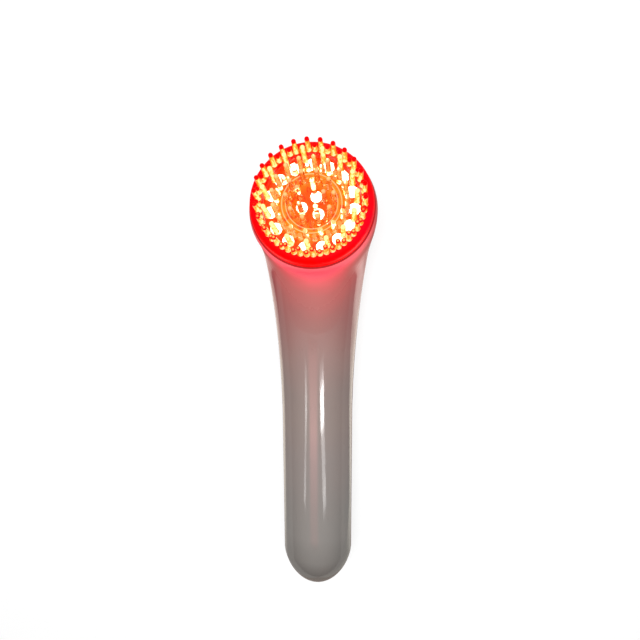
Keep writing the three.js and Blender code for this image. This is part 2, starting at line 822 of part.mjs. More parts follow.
const leadRoutes = [
  {
    name: "battery_lead_plus",
    material: leadRed,
    steps: 10,
    places: [
      [terminalRadius - leadRadius, batteryEnd, batteryHeight],
      [terminalRadius - leadRadius / 2, batteryEnd + leadRadius, batteryHeight],
      [besideBoss - leadRadius, middleScrewAlong - rearBossRadius, batteryHeight],
      [besideBoss, middleScrewAlong + leadRadius, batteryHeight],
      [besideBoss - leadRadius, mainBoardStart + leadRadius, overBoard],
    ],
  },
  {
    name: "battery_lead_minus",
    material: leadBlack,
    steps: 10,
    places: [
      [leadRadius - batteryRadius + gap, batteryEnd - terminalHeight + leadRadius / 2, batteryHeight],
      [-besideBoss, middleScrewAlong - rearBossRadius, batteryHeight],
      [-besideBoss, middleScrewAlong + leadRadius, batteryHeight],
      [leadRadius - besideBoss, mainBoardStart + leadRadius, overBoard],
    ],
  },
  {
    name: "charge_lead",
    material: leadWhite,
    steps: 24,
    places: [
      [rearBossRadius, endScrewAlong - rearBossRadius - leadRadius, chargeBoardTop + gap + leadRadius],
      [besideBoss, endScrewAlong - leadRadius, (chargeBoardTop + batteryHeight) / 2],
      [besideCradle, batteryStart + leadRadius, batteryHeight],
      [besideCradle, batteryStart + batteryLength, batteryHeight],
      [besideBoss + 3 * leadRadius, middleScrewAlong + rearBossRadius, overBoard + leadRadius],
      [besideBoss + 2 * leadRadius, mainBoardStart + 4 * leadRadius, overBoard],
    ],
  },
  {
    name: "motor_lead",
    material: leadBlack,
    steps: 6,
    places: [
      [-shaftHidden, boardEnd - boardThickness, overBoard],
      [-shaftHidden, (boardEnd + motorStart) / 2, (overBoard + motorHeight) / 2],
      [-shaftHidden, motorStart - gap, motorHeight],
    ],
  },
  {
    name: "lamp_lead",
    material: leadWhite,
    steps: 20,
    places: [
      [motorRadius, boardEnd - boardThickness, overBoard],
      [bracketFootWidth / 2, motorStart, motorHeight + leadRadius],
      [bracketFootWidth / 2 + leadRadius, motorStart + motorLength / 2, motorHeight + motorRadius + bracketWall],
      [motorRadius, motorStart + motorLength + weightLength, axisHeight + lampHeight * 2],
      underHead(leadRadius, -trayLegCircle / 2, gap + lampHeight / 2),
      underHead(leadRadius, -trayLegCircle / 2, gap),
    ],
  },
];

function lead({ places, steps }) {
  const route = new THREE.CatmullRomCurve3(places.map(([x, y, z]) => new THREE.Vector3(x, y, z)));
  const section = new THREE.Shape();
  section.absarc(0, 0, leadRadius, 0, 2 * Math.PI, false);
  return new THREE.ExtrudeGeometry(section, {
    steps,
    extrudePath: route,
    bevelEnabled: false,
    curveSegments: leadSides / 2,
  });
}

// The assembly

const device = new THREE.Group();
device.name = "light_brush";

const housing = new THREE.Group();
housing.add(meshOf("front_shell", frontShell(), shellPlastic));
housing.add(meshOf("rear_shell", rearShell(), shellPlastic));
shellScrews.forEach(({ x, y, seat }, i) =>
  housing.add(meshOf(`shell_screw_${i + 1}`, at(shellScrew(seat), x, y), steel)),
);
device.add(housing);

const head = new THREE.Group();
head.position.copy(faceCentre);
head.rotation.x = -faceTilt;
head.add(meshOf("brush_ring", brushRing(), ringRubber));
head.add(meshOf("brush_window", brushWindow(), windowRubber));
head.add(meshOf("head_seal", headSeal(), sealRubber));
head.add(meshOf("light_tray", lightTray(), trayPlastic));
head.add(meshOf("led_board", solidOf(rod(spigotInner - gap, boardBottom, boardTop, aroundHead)), boardGreen));
lampPlaces.forEach(({ name, x, y }) => head.add(meshOf(name, at(lamp(), x, y), lampClear)));
device.add(head);

const power = new THREE.Group();
power.add(meshOf("battery", solidOf(battery()), batterySleeve));
power.add(meshOf("battery_cradle", solidOf(batteryCradle()), cradlePlastic));
contactPlaces.forEach((y, i) =>
  power.add(meshOf(`charging_contact_${i + 1}`, at(chargingContact(), 0, y), gold)),
);
power.add(
  meshOf(
    "charge_board",
    at(
      block(chargeBoardWidth, chargeBoardLength, chargeBoardBottom, chargeBoardTop),
      0,
      chargeBoardMiddle,
    ),
    boardGreen,
  ),
);
device.add(power);

const control = new THREE.Group();
control.add(meshOf("main_board", mainBoard(), boardGreen));
boardScrewPlaces.forEach((y, i) =>
  control.add(meshOf(`board_screw_${i + 1}`, at(boardScrew(), 0, y), steel)),
);
const chipBottom = mainBoardTop + gap;
control.add(
  meshOf(
    "control_chip",
    at(block(chipSize, chipSize, chipBottom, chipBottom + chipHeight), 0, buttonAlong - chipOffset),
    chipBlack,
  ),
);
control.add(meshOf("tact_switch", tactSwitch(), switchPlastic));
control.add(
  meshOf(
    "switch_plunger",
    at(rod(plungerRadius, plungerBottom, switchBottom + plungerHidden), 0, buttonAlong),
    trayPlastic,
  ),
);
control.add(meshOf("button_cap", at(buttonCap(), 0, buttonAlong), shellPlastic));
device.add(control);

const motor = new THREE.Group();
motor.position.set(0, motorStart, motorHeight);
motor.add(meshOf("motor_can", solidOf(motorCan()), steel));
motor.add(meshOf("motor_shaft", solidOf(motorShaft()), steel));
motor.add(meshOf("eccentric_weight", solidOf(eccentricWeight()), gold));
motor.add(meshOf("motor_bracket", motorBracket(), cradlePlastic));
device.add(motor);

const leads = new THREE.Group();
leadRoutes.forEach((route) => leads.add(meshOf(route.name, solidOf(lead(route)), route.material)));
device.add(leads);

// Origin at the middle of the device's back, on the plane that it lies on
device.updateMatrixWorld(true);
const extent = new THREE.Box3().setFromObject(device, true);
device.position.set(0, -(extent.min.y + extent.max.y) / 2, 0);

export default device;
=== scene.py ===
# %% [markdown]
# # A light and brush device for the face
# This lesson dresses a hand-held device: a glossy white body, a glowing red ring with soft pins,
# a clear window with more pins, and white lamps below it. The solids of the device are loaded
# first. They fix every place and size, and the pieces made here stand for them one by one.

import math

import bmesh
import bpy
import numpy as np
from mathutils import Matrix, Vector


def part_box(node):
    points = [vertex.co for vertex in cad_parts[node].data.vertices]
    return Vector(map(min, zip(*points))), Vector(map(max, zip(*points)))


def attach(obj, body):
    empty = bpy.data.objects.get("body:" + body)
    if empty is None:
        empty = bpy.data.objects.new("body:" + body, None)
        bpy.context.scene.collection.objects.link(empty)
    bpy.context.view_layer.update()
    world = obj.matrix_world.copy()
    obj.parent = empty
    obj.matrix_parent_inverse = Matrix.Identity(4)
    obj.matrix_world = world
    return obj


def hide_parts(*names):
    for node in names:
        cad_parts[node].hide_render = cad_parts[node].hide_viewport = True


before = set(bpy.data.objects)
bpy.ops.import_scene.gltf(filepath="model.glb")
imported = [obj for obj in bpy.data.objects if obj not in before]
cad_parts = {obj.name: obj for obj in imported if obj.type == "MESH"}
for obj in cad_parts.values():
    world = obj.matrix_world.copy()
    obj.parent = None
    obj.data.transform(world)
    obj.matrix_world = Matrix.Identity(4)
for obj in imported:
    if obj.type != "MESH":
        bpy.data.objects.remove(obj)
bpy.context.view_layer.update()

# %% [markdown]
# ## The head's own upright frame
# The face of the device is tilted 14 degrees. Its pieces are all round, and a round piece is
# easiest to turn upright about Z. So each one is modelled with its middle at the origin, with
# heights counted from the lamp tops, and is set into the tilted head as its last step.

# %% The tilted head
MM = 0.001
TILT = math.radians(14)
FACE_CENTRE = Vector((0, 88.767 * MM, 47.6 * MM))
LIP_HEIGHT = -2.3
FACE_AXIS = Vector((0, math.sin(TILT), math.cos(TILT)))
FACE_FORWARD = Vector((0, math.cos(TILT), -math.sin(TILT)))
INTO_HEAD = Matrix.Translation(FACE_CENTRE) @ Matrix.Rotation(-TILT, 4, "X")
print("face centre:", tuple(round(v, 4) for v in FACE_CENTRE))

# %% [markdown]
# ## The camera
# The photograph looks down on the lit face from about 230 mm, a little from the handle's side.
# The place and turn of the camera were found from the lamps and the pin tips, whose places on
# the face are known. The body's outline then falls where the photograph has it.

# %% Camera over the face
camera = bpy.data.objects.new("camera", bpy.data.cameras.new("camera"))
bpy.context.collection.objects.link(camera)
right = Vector((0.9980773, -0.00306991, -0.06190541))
up = Vector((-0.00730165, 0.98599458, -0.16661744))
back = Vector((0.0615499, 0.1667491, 0.98407639))
camera.matrix_world = Matrix((right, up, back)).transposed().to_4x4()
camera.location = FACE_CENTRE + Vector((17.524, -13.456, 226.015)) * MM
camera.data.sensor_width = 36
camera.data.lens = 28.125
bpy.context.scene.camera = camera
print("camera at", tuple(round(v, 4) for v in camera.location))

# %% [markdown]
# ## Hand tools
# The steps below use Blender's edit mode as a modeller does by hand. These helpers open a piece
# for editing, select by place, and turn a profile into a round piece: a circle is extruded ring
# by ring, and each new ring is scaled to its radius.

# %% Open a piece, and select by place
def put_down_all():
    if bpy.context.mode != "OBJECT":
        bpy.ops.object.mode_set(mode="OBJECT")
    bpy.ops.object.select_all(action="DESELECT")


def take(piece):
    put_down_all()
    piece.select_set(True)
    bpy.context.view_layer.objects.active = piece
    return piece


def open_for_editing(piece):
    take(piece)
    bpy.ops.object.mode_set(mode="EDIT")
    bpy.ops.mesh.select_mode(type="VERT")
    bpy.ops.mesh.select_all(action="SELECT")


def pick(piece, kind, wanted):
    """In edit mode, selects only the parts of a kind for which wanted(part) is true."""
    bpy.ops.mesh.select_mode(type=kind)
    bpy.ops.mesh.select_all(action="DESELECT")
    mesh = bmesh.from_edit_mesh(piece.data)
    parts = {"VERT": mesh.verts, "EDGE": mesh.edges, "FACE": mesh.faces}[kind]
    chosen = [part for part in parts if wanted(part)]
    for part in chosen:
        part.select_set(True)
    bmesh.update_edit_mesh(piece.data)
    return len(chosen)


def fresh(name):
    """The piece that was just added, under its name and with its place in its mesh."""
    piece = bpy.context.active_object
    piece.name = piece.data.name = name
    bpy.ops.object.transform_apply(location=True, rotation=True, scale=True)
    return piece


def added(name, kind, **values):
    """A new circle, cylinder, cone or plane, under its name and with its place in its mesh."""
    put_down_all()
    getattr(bpy.ops.mesh, f"primitive_{kind}_add")(**values)
    return fresh(name)


def extrude(x, y, z):
    bpy.ops.mesh.extrude_region_move(TRANSFORM_OT_translate={"value": (x, y, z)})


def move_picked(piece, place):
    """In edit mode, sets each selected corner to place(corner's coordinates)."""
    mesh = bmesh.from_edit_mesh(piece.data)
    for corner in mesh.verts:
        if corner.select:
            corner.co = place(corner.co)
    bmesh.update_edit_mesh(piece.data)


def middle_of(part):
    return sum((corner.co for corner in part.verts), Vector()) / len(part.verts)


def radius_of(point):
    return math.hypot(point.x, point.y)


# %% Finish the surface of a piece
def weld_and_face_out(piece):
    open_for_editing(piece)
    bpy.ops.mesh.remove_doubles(threshold=1e-6)
    bpy.ops.mesh.normals_make_consistent(inside=False)
    put_down_all()


def smooth(piece, angle=35):
    take(piece)
    bpy.ops.object.shade_smooth_by_angle(angle=math.radians(angle))
    put_down_all()


def apply_modifier(piece, kind, **values):
    take(piece)
    modifier = piece.modifiers.new(kind.lower(), kind)
    for name, value in values.items():
        setattr(modifier, name, value)
    bpy.ops.object.modifier_apply(modifier=modifier.name)
    put_down_all()


def set_in_head(piece):
    piece.data.transform(INTO_HEAD)
    piece.data.update()


# %% Turn a profile into a round piece
def turned(name, profile, around=64):
    """A round piece about Z. The profile lists radius and height in millimetres, and closes on
    itself where its last point is its first, or ends in a pole where a radius is 0."""
    first_radius, first_height = profile[0]
    start = max(first_radius, 0.05)
    place = (0, 0, first_height * MM)
    piece = added(name, "circle", vertices=around, radius=start * MM, location=place)
    open_for_editing(piece)
    if first_radius == 0:
        bpy.ops.mesh.edge_face_add()
        bpy.ops.mesh.poke()
        pick(piece, "EDGE", lambda edge: edge.is_boundary)
    radius, height = start, first_height
    for next_radius, next_height in profile[1:]:
        extrude(0, 0, (next_height - height) * MM)
        if next_radius == 0:
            bpy.ops.mesh.merge(type="CENTER")
            break
        if next_radius != radius:
            share = next_radius / radius
            bpy.ops.transform.resize(
                value=(share, share, 1), center_override=(0, 0, next_height * MM)
            )
        radius, height = next_radius, next_height
    weld_and_face_out(piece)
    return piece


def copy_of(piece, name):
    twin = piece.copy()
    twin.data = piece.data.copy()
    twin.name = twin.data.name = name
    bpy.context.collection.objects.link(twin)
    return twin


def join_all(pieces, name):
    take(pieces[0])
    for piece in pieces:
        piece.select_set(True)
    bpy.ops.object.join()
    joined = fresh(name)
    put_down_all()
    return joined


def bevel_edges(piece, width):
    """Rounds every edge of a piece that is sharper than 50 degrees."""
    apply_modifier(
        piece, "BEVEL", width=width * MM, segments=2, limit_method="ANGLE",
        angle_limit=math.radians(50),
    )


def carve(piece, tool, operation="DIFFERENCE"):
    apply_modifier(piece, "BOOLEAN", operation=operation, object=tool, solver="EXACT")
    bpy.data.objects.remove(tool)


# %% [markdown]
# ## The body's form as one formula
# The real body is a straight tube that flares and swells into a round head, with no edge
# between the two. A chain of separate forms would show its joints in the gloss. So the form is
# written as one smooth formula, below zero inside: an oval tube, a bulb, and a soft blend where
# they meet. The rings of a long tube are later pulled onto it.

# %% The tube, the bulb and their blend
HANDLE_END = -116.217 * MM
HANDLE_RADIUS = 18.6 * MM
BACK_FLAT = 1 * MM
END_LENGTH = 21 * MM
FLARE_START, FLARE_LENGTH = 94 * MM, 95 * MM
RISE_START, RISE_LENGTH = 150 * MM, 59 * MM
BULB_RADIUS, BULB_ABOVE, BULB_BELOW = 29.254 * MM, 19 * MM, 29 * MM
BULB_CENTRE = FACE_CENTRE - 7 * MM * FACE_AXIS
BLEND_REACH = 9 * MM


def tube_at(y):
    """Half width, half height and middle height of the handle at a place along it."""
    along = y - HANDLE_END
    flare = np.maximum(0, (along - FLARE_START) / FLARE_LENGTH) ** 2
    lift = np.maximum(0, (along - RISE_START) / RISE_LENGTH) ** 2
    half_height = HANDLE_RADIUS + 2.2 * MM * flare
    return HANDLE_RADIUS + 8.2 * MM * flare, half_height, half_height - BACK_FLAT + 11 * MM * lift


def body_field(points):
    x, y, z = points.T
    half_width, half_height, middle = tube_at(y)
    along = y - HANDLE_END
    near_end = np.maximum(0, (END_LENGTH - along) / END_LENGTH) ** 1.6
    far_end = np.maximum(0, (along - 190 * MM) / (25 * MM)) ** 2
    across = (x / half_width) ** 2 + ((z - middle) / half_height) ** 2
    tube = (np.sqrt(across + near_end + far_end) - 1) * half_width
    offset = points - np.array(BULB_CENTRE)
    height = offset @ np.array(FACE_AXIS)
    wide = np.maximum(0, (offset**2).sum(1) - height**2)
    half_axis = np.where(height > 0, BULB_ABOVE, BULB_BELOW)
    bulb = (np.sqrt(wide / BULB_RADIUS**2 + (height / half_axis) ** 2) - 1) * BULB_RADIUS
    mix = np.clip((1 + (tube - bulb) / BLEND_REACH) / 2, 0, 1)
    return tube * (1 - mix) + bulb * mix - BLEND_REACH * mix * (1 - mix)


print("field at the face centre:", body_field(np.array([FACE_CENTRE]))[0])

# %% [markdown]
# ## A long tube bent into the head
# The start is a plain circle at the end of the handle. It is extruded ring by ring up to the
# neck, and then spun through 76 degrees, so that its last ring lies in the tilted face. Rings
# that turn with the form keep the mesh even, and give the head a clean round lip.

# %% Extrude the handle and spin the neck
AROUND = 128
AXIS_HEIGHT = HANDLE_RADIUS - BACK_FLAT
NECK_REACH = 36 * MM
LIP = FACE_CENTRE + LIP_HEIGHT * MM * FACE_AXIS
PIVOT = LIP - NECK_REACH * FACE_FORWARD
end_rings = [END_LENGTH * (1 - math.cos(math.pi / 2 * i / 14)) for i in range(1, 15)]
straight_rings = [END_LENGTH + (FLARE_START - END_LENGTH) * i / 6 for i in range(1, 7)]
neck_along = PIVOT.y - HANDLE_END
flare_rings = [FLARE_START + (neck_along - FLARE_START) * i / 26 for i in range(1, 27)]
stations = [HANDLE_END + along for along in end_rings + straight_rings + flare_rings]

skin = added(
    "skin", "circle", vertices=AROUND, radius=HANDLE_RADIUS,
    location=(0, stations[0], AXIS_HEIGHT), rotation=(math.pi / 2, math.pi / AROUND, 0),
)
open_for_editing(skin)
for here, there in zip(stations, stations[1:]):
    extrude(0, there - here, 0)
bpy.ops.mesh.spin(steps=44, angle=TILT - math.pi / 2, center=PIVOT, axis=(1, 0, 0))
put_down_all()
farthest = max(v.co.y for v in skin.data.vertices)
print("rings:", len(skin.data.vertices) // AROUND, "reach:", farthest)

# %% [markdown]
# ## Pull the tube onto the form
# Every corner moves along its own ray, from the middle of its ring, until it meets the surface
# of the formula. Halving a span thirty times finds the place far finer than any print or mould.

# %% Cast every corner onto the surface
corners = np.array([v.co for v in skin.data.vertices])
turn = np.arctan2(corners[:, 1] - PIVOT.y, PIVOT.z - corners[:, 2])
in_neck = corners[:, 1] > PIVOT.y + 1e-7
turn = np.where(in_neck, turn, 0)
from_pivot = np.hypot(corners[:, 1] - PIVOT.y, corners[:, 2] - PIVOT.z)
reach = np.where(in_neck, from_pivot, PIVOT.z - corners[:, 2])
inward = (PIVOT.z - AXIS_HEIGHT) - reach
angle = np.arctan2(inward, corners[:, 0])
middle = tube_at(corners[:, 1])[2]
neck_start = PIVOT.z - tube_at(np.array([PIVOT.y]))[2][0]
share = turn / (math.pi / 2 - TILT)
core = np.where(in_neck, neck_start + (NECK_REACH - neck_start) * share, PIVOT.z - middle)
centre_y = np.where(in_neck, PIVOT.y + core * np.sin(turn), corners[:, 1])
centres = np.column_stack([np.zeros(len(corners)), centre_y, PIVOT.z - core * np.cos(turn)])
rays = np.column_stack([np.cos(angle), -np.sin(angle) * np.sin(turn), np.sin(angle) * np.cos(turn)])
low, high = np.zeros(len(corners)), np.full(len(corners), 60 * MM)
for _ in range(30):
    half = (low + high) / 2
    inside = body_field(centres + rays * half[:, None]) < 0
    low, high = np.where(inside, half, low), np.where(inside, high, half)
skin.data.vertices.foreach_set("co", (centres + rays * low[:, None]).ravel())
skin.data.update()
print("farthest corner from its ring's middle:", round(float(low.max()), 4))

# %% Close the round end of the handle
open_for_editing(skin)
first_ring = stations[0]
pick(skin, "EDGE", lambda edge: edge.is_boundary and abs(middle_of(edge).y - first_ring) < 1e-6)
extrude(0, HANDLE_END - first_ring, 0)
bpy.ops.mesh.merge(type="CENTER")
weld_and_face_out(skin)
print("skin faces:", len(skin.data.polygons))

# %% [markdown]
# ## One wall for both shells
# The body is two moulded shells that meet along its widest line. Both are cut from one hollow
# body, so they meet all round, and Solidify gives that body its 2.2 mm wall. The mouth grows a
# deck for the ring, a low collar that centres it, and an inner ledge for the lamp board. Each
# is one more extruded ring, placed on its own radius.

# %% Give the wall its thickness
WALL = 2.2
POST_SINK = 0.7
body_form = copy_of(skin, "body_form")
open_for_editing(body_form)
pick(body_form, "EDGE", lambda edge: edge.is_boundary)
bpy.ops.mesh.edge_face_add()
weld_and_face_out(body_form)
open_for_editing(body_form)
bpy.ops.transform.shrink_fatten(value=-POST_SINK * MM)
put_down_all()
apply_modifier(skin, "SOLIDIFY", thickness=WALL * MM, offset=-1, use_rim=False)
print("wall faces:", len(skin.data.polygons))

# %% Grow the deck, the collar and the ledge from the lip
OUT_OF_HEAD = INTO_HEAD.inverted()
skin.data.transform(OUT_OF_HEAD)
open_for_editing(skin)
lip_edges = pick(
    skin, "EDGE", lambda edge: edge.is_boundary and abs(middle_of(edge).z - LIP_HEIGHT * MM) < 2e-5
)


def on_ring(at, radius, height):
    share = radius * MM / radius_of(at)
    return at.x * share, at.y * share, height * MM


for radius, height in [
    (23.3, LIP_HEIGHT), (23.3, 0), (22.2, 0), (22.2, -8.3), (20.3, -8.3),
    (20.3, -9.8), (23.3, -9.8), (23.3, -4.3), (25.4, -4.3),
]:
    bpy.ops.mesh.extrude_region_move()
    move_picked(skin, lambda at: on_ring(at, radius, height))
bridged = pick(skin, "EDGE", lambda edge: edge.is_boundary)
bpy.ops.mesh.bridge_edge_loops()
print("lip edges:", lip_edges, "edges bridged:", bridged)


# %% Round the lip and the collar
def on_circle(edge, height, inner, outer):
    first, second = (corner.co for corner in edge.verts)
    level = abs(first.z - height * MM) < 1e-5 and abs(second.z - height * MM) < 1e-5
    around = abs(radius_of(first) - radius_of(second)) < 0.1 * MM
    return level and around and inner * MM < radius_of(first) < outer * MM


pick(skin, "EDGE", lambda edge: on_circle(edge, LIP_HEIGHT, 26, 32))
bpy.ops.mesh.bevel(offset=0.35 * MM, segments=3, affect="EDGES")
pick(skin, "EDGE", lambda edge: on_circle(edge, 0, 21, 24))
bpy.ops.mesh.bevel(offset=0.2 * MM, segments=2, affect="EDGES")
bpy.ops.mesh.select_all(action="SELECT")
bpy.ops.mesh.normals_make_consistent(inside=False)
put_down_all()
set_in_head(skin)
print("body faces:", len(skin.data.polygons))

# %% [markdown]
# ## The two shells
# A large block takes away one half of the hollow body, and leaves the other as a shell with a
# flat edge. The shells stop just short of the parting line on each side, so a fine dark line shows
# between them, as on any moulded case. A third cut gives the shallow flat that the device lies
# on.

# %% Part the body along its widest line
PART_LINE = 17.6
PART_GAP = 0.15


def take_away(piece, height, side):
    """Cuts off all of a piece above a height (side 1) or below it (side -1)."""
    reach = 200 * MM
    put_down_all()
    bpy.ops.mesh.primitive_cube_add(size=2 * reach, location=(0, 0, height * MM + side * reach))
    carve(piece, bpy.context.active_object)


front_shell = copy_of(skin, "shell_front")
take_away(front_shell, PART_LINE + PART_GAP, -1)
smooth(front_shell)
rear_shell = copy_of(skin, "shell_rear")
take_away(rear_shell, PART_LINE - PART_GAP, 1)
for piece in (rear_shell, body_form):
    take_away(piece, 0, -1)
print("front:", len(front_shell.data.polygons), "rear:", len(rear_shell.data.polygons))

# %% [markdown]
# ## Posts and openings in the rear shell
# The posts for the screws are round rods. They are trimmed by a copy of the body's form that is
# a little smaller, so that each ends inside the wall and leaves the outer skin whole. The
# openings are cut last: two for the charging contacts, one for the button and four stepped ones
# for the screws.

# %% Posts, screw steps and openings
def rod(radius, low_end, high_end, x, y, around=48):
    return added(
        "rod", "cylinder", vertices=around, radius=radius * MM, depth=(high_end - low_end) * MM,
        location=(x, y, (low_end + high_end) / 2 * MM),
    )


def middle_xy(node):
    low_corner, high_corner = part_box(node)
    return (low_corner[0] + high_corner[0]) / 2, (low_corner[1] + high_corner[1]) / 2


screw_nodes = [f"shell_screw_{i}" for i in range(1, 5)]
screw_places = [(*middle_xy(node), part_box(node)[0][2] / MM + 1.9) for node in screw_nodes]
for x, y, seat in screw_places:
    post = rod(4.2, max(seat - 3.5, 0) + 0.6, PART_LINE - PART_GAP, x, y)
    carve(post, copy_of(body_form, "trim"), "INTERSECT")
    carve(rear_shell, post, "UNION")
tools = [rod(2.7, -6, seat, x, y) for x, y, seat in screw_places]
tools += [rod(1.45, 1, 24, x, y) for x, y, _ in screw_places]
contact_nodes = ["charging_contact_1", "charging_contact_2"]
tools += [rod(2.3, -6, 6, *middle_xy(node)) for node in contact_nodes]
tools += [rod(5.8, -6, 2.95, *middle_xy("button_cap"), around=96)]
for tool in tools:
    carve(rear_shell, tool)
bevel_edges(rear_shell, 0.25)
smooth(rear_shell)
bpy.data.objects.remove(skin)
bpy.data.objects.remove(body_form)
print("rear shell faces:", len(rear_shell.data.polygons))

# %% [markdown]
# ## One pin, copied
# The brush is 124 moulded pins in two lengths. A pin is a slim cone with a rounded tip and a
# small foot where the mould lets it flow into the plate. It is modelled once for each length and
# copied, and stays at a few dozen faces, because so many of them show.

# %% Shape a pin from a cone
RING_TOP = 5.1
WINDOW_TOP = 1.5
PIN_TIPS = 15.96
PIN_BASE, PIN_TIP = 1.15, 1.03
PIN_SIDES = 12
FOOT_DEPTH, FOOT_HEIGHT, FOOT_SPREAD = 0.15, 0.9, 1.25
RED_CAP = 1.25


def make_pin(name, plate_top, tip, cap=0):
    """A pin from just inside its plate to its tip, with an edge round it where its cap begins."""
    foot = plate_top - FOOT_DEPTH
    pin = added(
        name, "cone", vertices=PIN_SIDES, radius1=PIN_BASE * MM, radius2=PIN_TIP * MM,
        depth=(tip - foot) * MM, location=(0, 0, (foot + tip) / 2 * MM),
    )
    open_for_editing(pin)
    for level in [foot + FOOT_HEIGHT] + ([tip - cap] if cap else []):
        bpy.ops.mesh.select_all(action="SELECT")
        bpy.ops.mesh.bisect(plane_co=(0, 0, level * MM), plane_no=(0, 0, 1))
    pick(pin, "VERT", lambda corner: corner.co.z < (foot + 0.1) * MM)
    spread = (FOOT_SPREAD, FOOT_SPREAD, 1)
    bpy.ops.transform.resize(value=spread, center_override=(0, 0, foot * MM))
    pick(pin, "EDGE", lambda edge: all(c.co.z > (tip - 0.1) * MM for c in edge.verts))
    bpy.ops.mesh.bevel(offset=0.85 * PIN_TIP * MM, segments=3, affect="EDGES")
    pick(pin, "FACE", lambda face: face.normal.z > 0.99)
    bpy.ops.mesh.poke(offset=0.04 * MM)
    put_down_all()
    smooth(pin, 70)
    return pin


def row_of(pin, radius, count, turn):
    """Copies of a pin on a circle, the first one at the turn, going clockwise."""
    row = []
    for i in range(count):
        angle = math.radians(turn) - 2 * math.pi * i / count
        twin = copy_of(pin, f"{pin.name}_{i + 1}")
        place = (radius * MM * math.cos(angle), radius * MM * math.sin(angle), 0)
        twin.data.transform(Matrix.Translation(place))
        row.append(twin)
    return row


ring_pin = make_pin("ring_pin", RING_TOP, PIN_TIPS, cap=RED_CAP)
ring_stub = make_pin("ring_stub", RING_TOP, RING_TOP + 5, cap=RED_CAP)
window_pin = make_pin("window_pin", WINDOW_TOP, PIN_TIPS)
window_stub = make_pin("window_stub", WINDOW_TOP, WINDOW_TOP + 5.4)
print("faces in a pin:", len(ring_pin.data.polygons))

# %% [markdown]
# ## The ring and its pins
# The ring is a soft moulded cuff. Its section is drawn as a profile with a full shoulder outside
# and a small rounding inside, and is turned about the head's axis. The rebate under its inner
# edge holds the window. Long and short pins stand in turn on its top.

# %% Turn the ring and set its pins
def quarter(centre_radius, centre_height, radius, start, end, steps):
    """Points on a quarter round of a profile, in millimetres, between two angles in degrees."""
    angles = [math.radians(start + (end - start) * i / steps) for i in range(steps + 1)]
    return [
        (centre_radius + radius * math.cos(a), centre_height + radius * math.sin(a)) for a in angles
    ]


ring_section = (
    [(25.05, -2), (27.4, -2), (27.6, -1.9), (27.7, -1.7), (27.7, -1.4), (27.5, -1.1)]
    + quarter(24.5, 2.1, 3, 0, 90, 10)
    + quarter(22.5, 4.5, 0.6, 90, 180, 5)
    + [(21.9, 1.8), (25.05, 1.8), (25.05, -2)]
)
brush_ring = turned("ring_with_pins", ring_section, around=144)
smooth(brush_ring, 50)
ring_pins = row_of(ring_pin, 23.3, 26, 162.6) + row_of(ring_stub, 23.3, 26, 162.6 - 180 / 26)
brush_ring = join_all([brush_ring] + ring_pins, "ring_with_pins")
set_in_head(brush_ring)
print("ring faces:", len(brush_ring.data.polygons))

# %% [markdown]
# ## The window and its pins
# The window is a clear disc with a low double ridge, and carries four more rows of pins. The
# outer two rows and the two inner ones have their own counts and turns, read from the
# photograph, so the rows don't line up, just as on the real brush.

# %% Turn the window and set its rows
window_section = [
    (0, 0.3), (24.75, 0.3), (24.75, 1.5), (14.3, 1.5), (14.0, 1.65), (13.6, 2.1), (13.2, 2.1),
    (12.8, 1.75), (12.1, 1.75), (11.7, 2.1), (11.3, 2.1), (10.9, 1.65), (10.6, 1.5), (0, 1.5),
]
brush_window = turned("window_with_pins", window_section, around=120)
smooth(brush_window, 50)
window_rows = [
    (window_pin, 19.9, 15, 99.1),
    (window_pin, 15.75, 16, 107), (window_stub, 15.75, 16, 107 - 180 / 16),
    (window_pin, 10.05, 10, 110), (window_stub, 10.05, 10, 110 - 180 / 10),
    (window_pin, 5.9, 5, 152),
]
window_pins = [pin for row in window_rows for pin in row_of(*row)]
brush_window = join_all([brush_window] + window_pins, "window_with_pins")
set_in_head(brush_window)
for pin in (ring_pin, ring_stub, window_pin, window_stub):
    bpy.data.objects.remove(pin)
print("window faces:", len(brush_window.data.polygons))

# %% [markdown]
# ## Seal, lamps and reflector tray
# The seal is a rubber cord laid round the collar: a circle turned about the axis. A lamp is the
# usual clear 5 mm lamp with a domed top and a foot with one flat side. The tray is a coloured
# disc that hides the board. Its edge turns up a little, and every lamp shines through its own
# hole, which gets a small bevel to catch the light.

# %% Turn the seal
seal = turned("seal_cord", quarter(24.175, -1.35, 0.65, 0, 360, 16), around=96)
smooth(seal, 60)
set_in_head(seal)
print("seal faces:", len(seal.data.polygons))


# %% Shape one lamp and set eighteen
def middle_in_head(node):
    low_corner, high_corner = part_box(node)
    return OUT_OF_HEAD @ ((Vector(low_corner) + Vector(high_corner)) / 2)


LAMP_FLAT = 2.45
lamp_profile = (
    [(0, -6.1), (2.6, -6.1), (2.7, -6.0), (2.7, -5.4), (2.6, -5.3), (2.4, -5.3)]
    + quarter(0, -2.4, 2.4, 0, 80, 6)
    + [(0, 0)]
)
first_lamp = turned("lamp", lamp_profile, around=24)
open_for_editing(first_lamp)
pick(first_lamp, "VERT", lambda c: c.co.z < -5.25 * MM and c.co.x > LAMP_FLAT * MM)
move_picked(first_lamp, lambda at: (LAMP_FLAT * MM, at.y, at.z))
put_down_all()
smooth(first_lamp, 40)
lamp_nodes = sorted(
    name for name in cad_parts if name.startswith("lamp_") and "lead" not in name
)
lamps = {}
for node in lamp_nodes:
    centre = middle_in_head(node)
    lamp = copy_of(first_lamp, node.replace("lamp", "clear_lamp"))
    around_head = Matrix.Rotation(math.atan2(centre.y, centre.x), 4, "Z")
    lamp.data.transform(Matrix.Translation((centre.x, centre.y, 0)) @ around_head)
    set_in_head(lamp)
    lamps[node] = lamp
bpy.data.objects.remove(first_lamp)
print("lamps:", len(lamps))

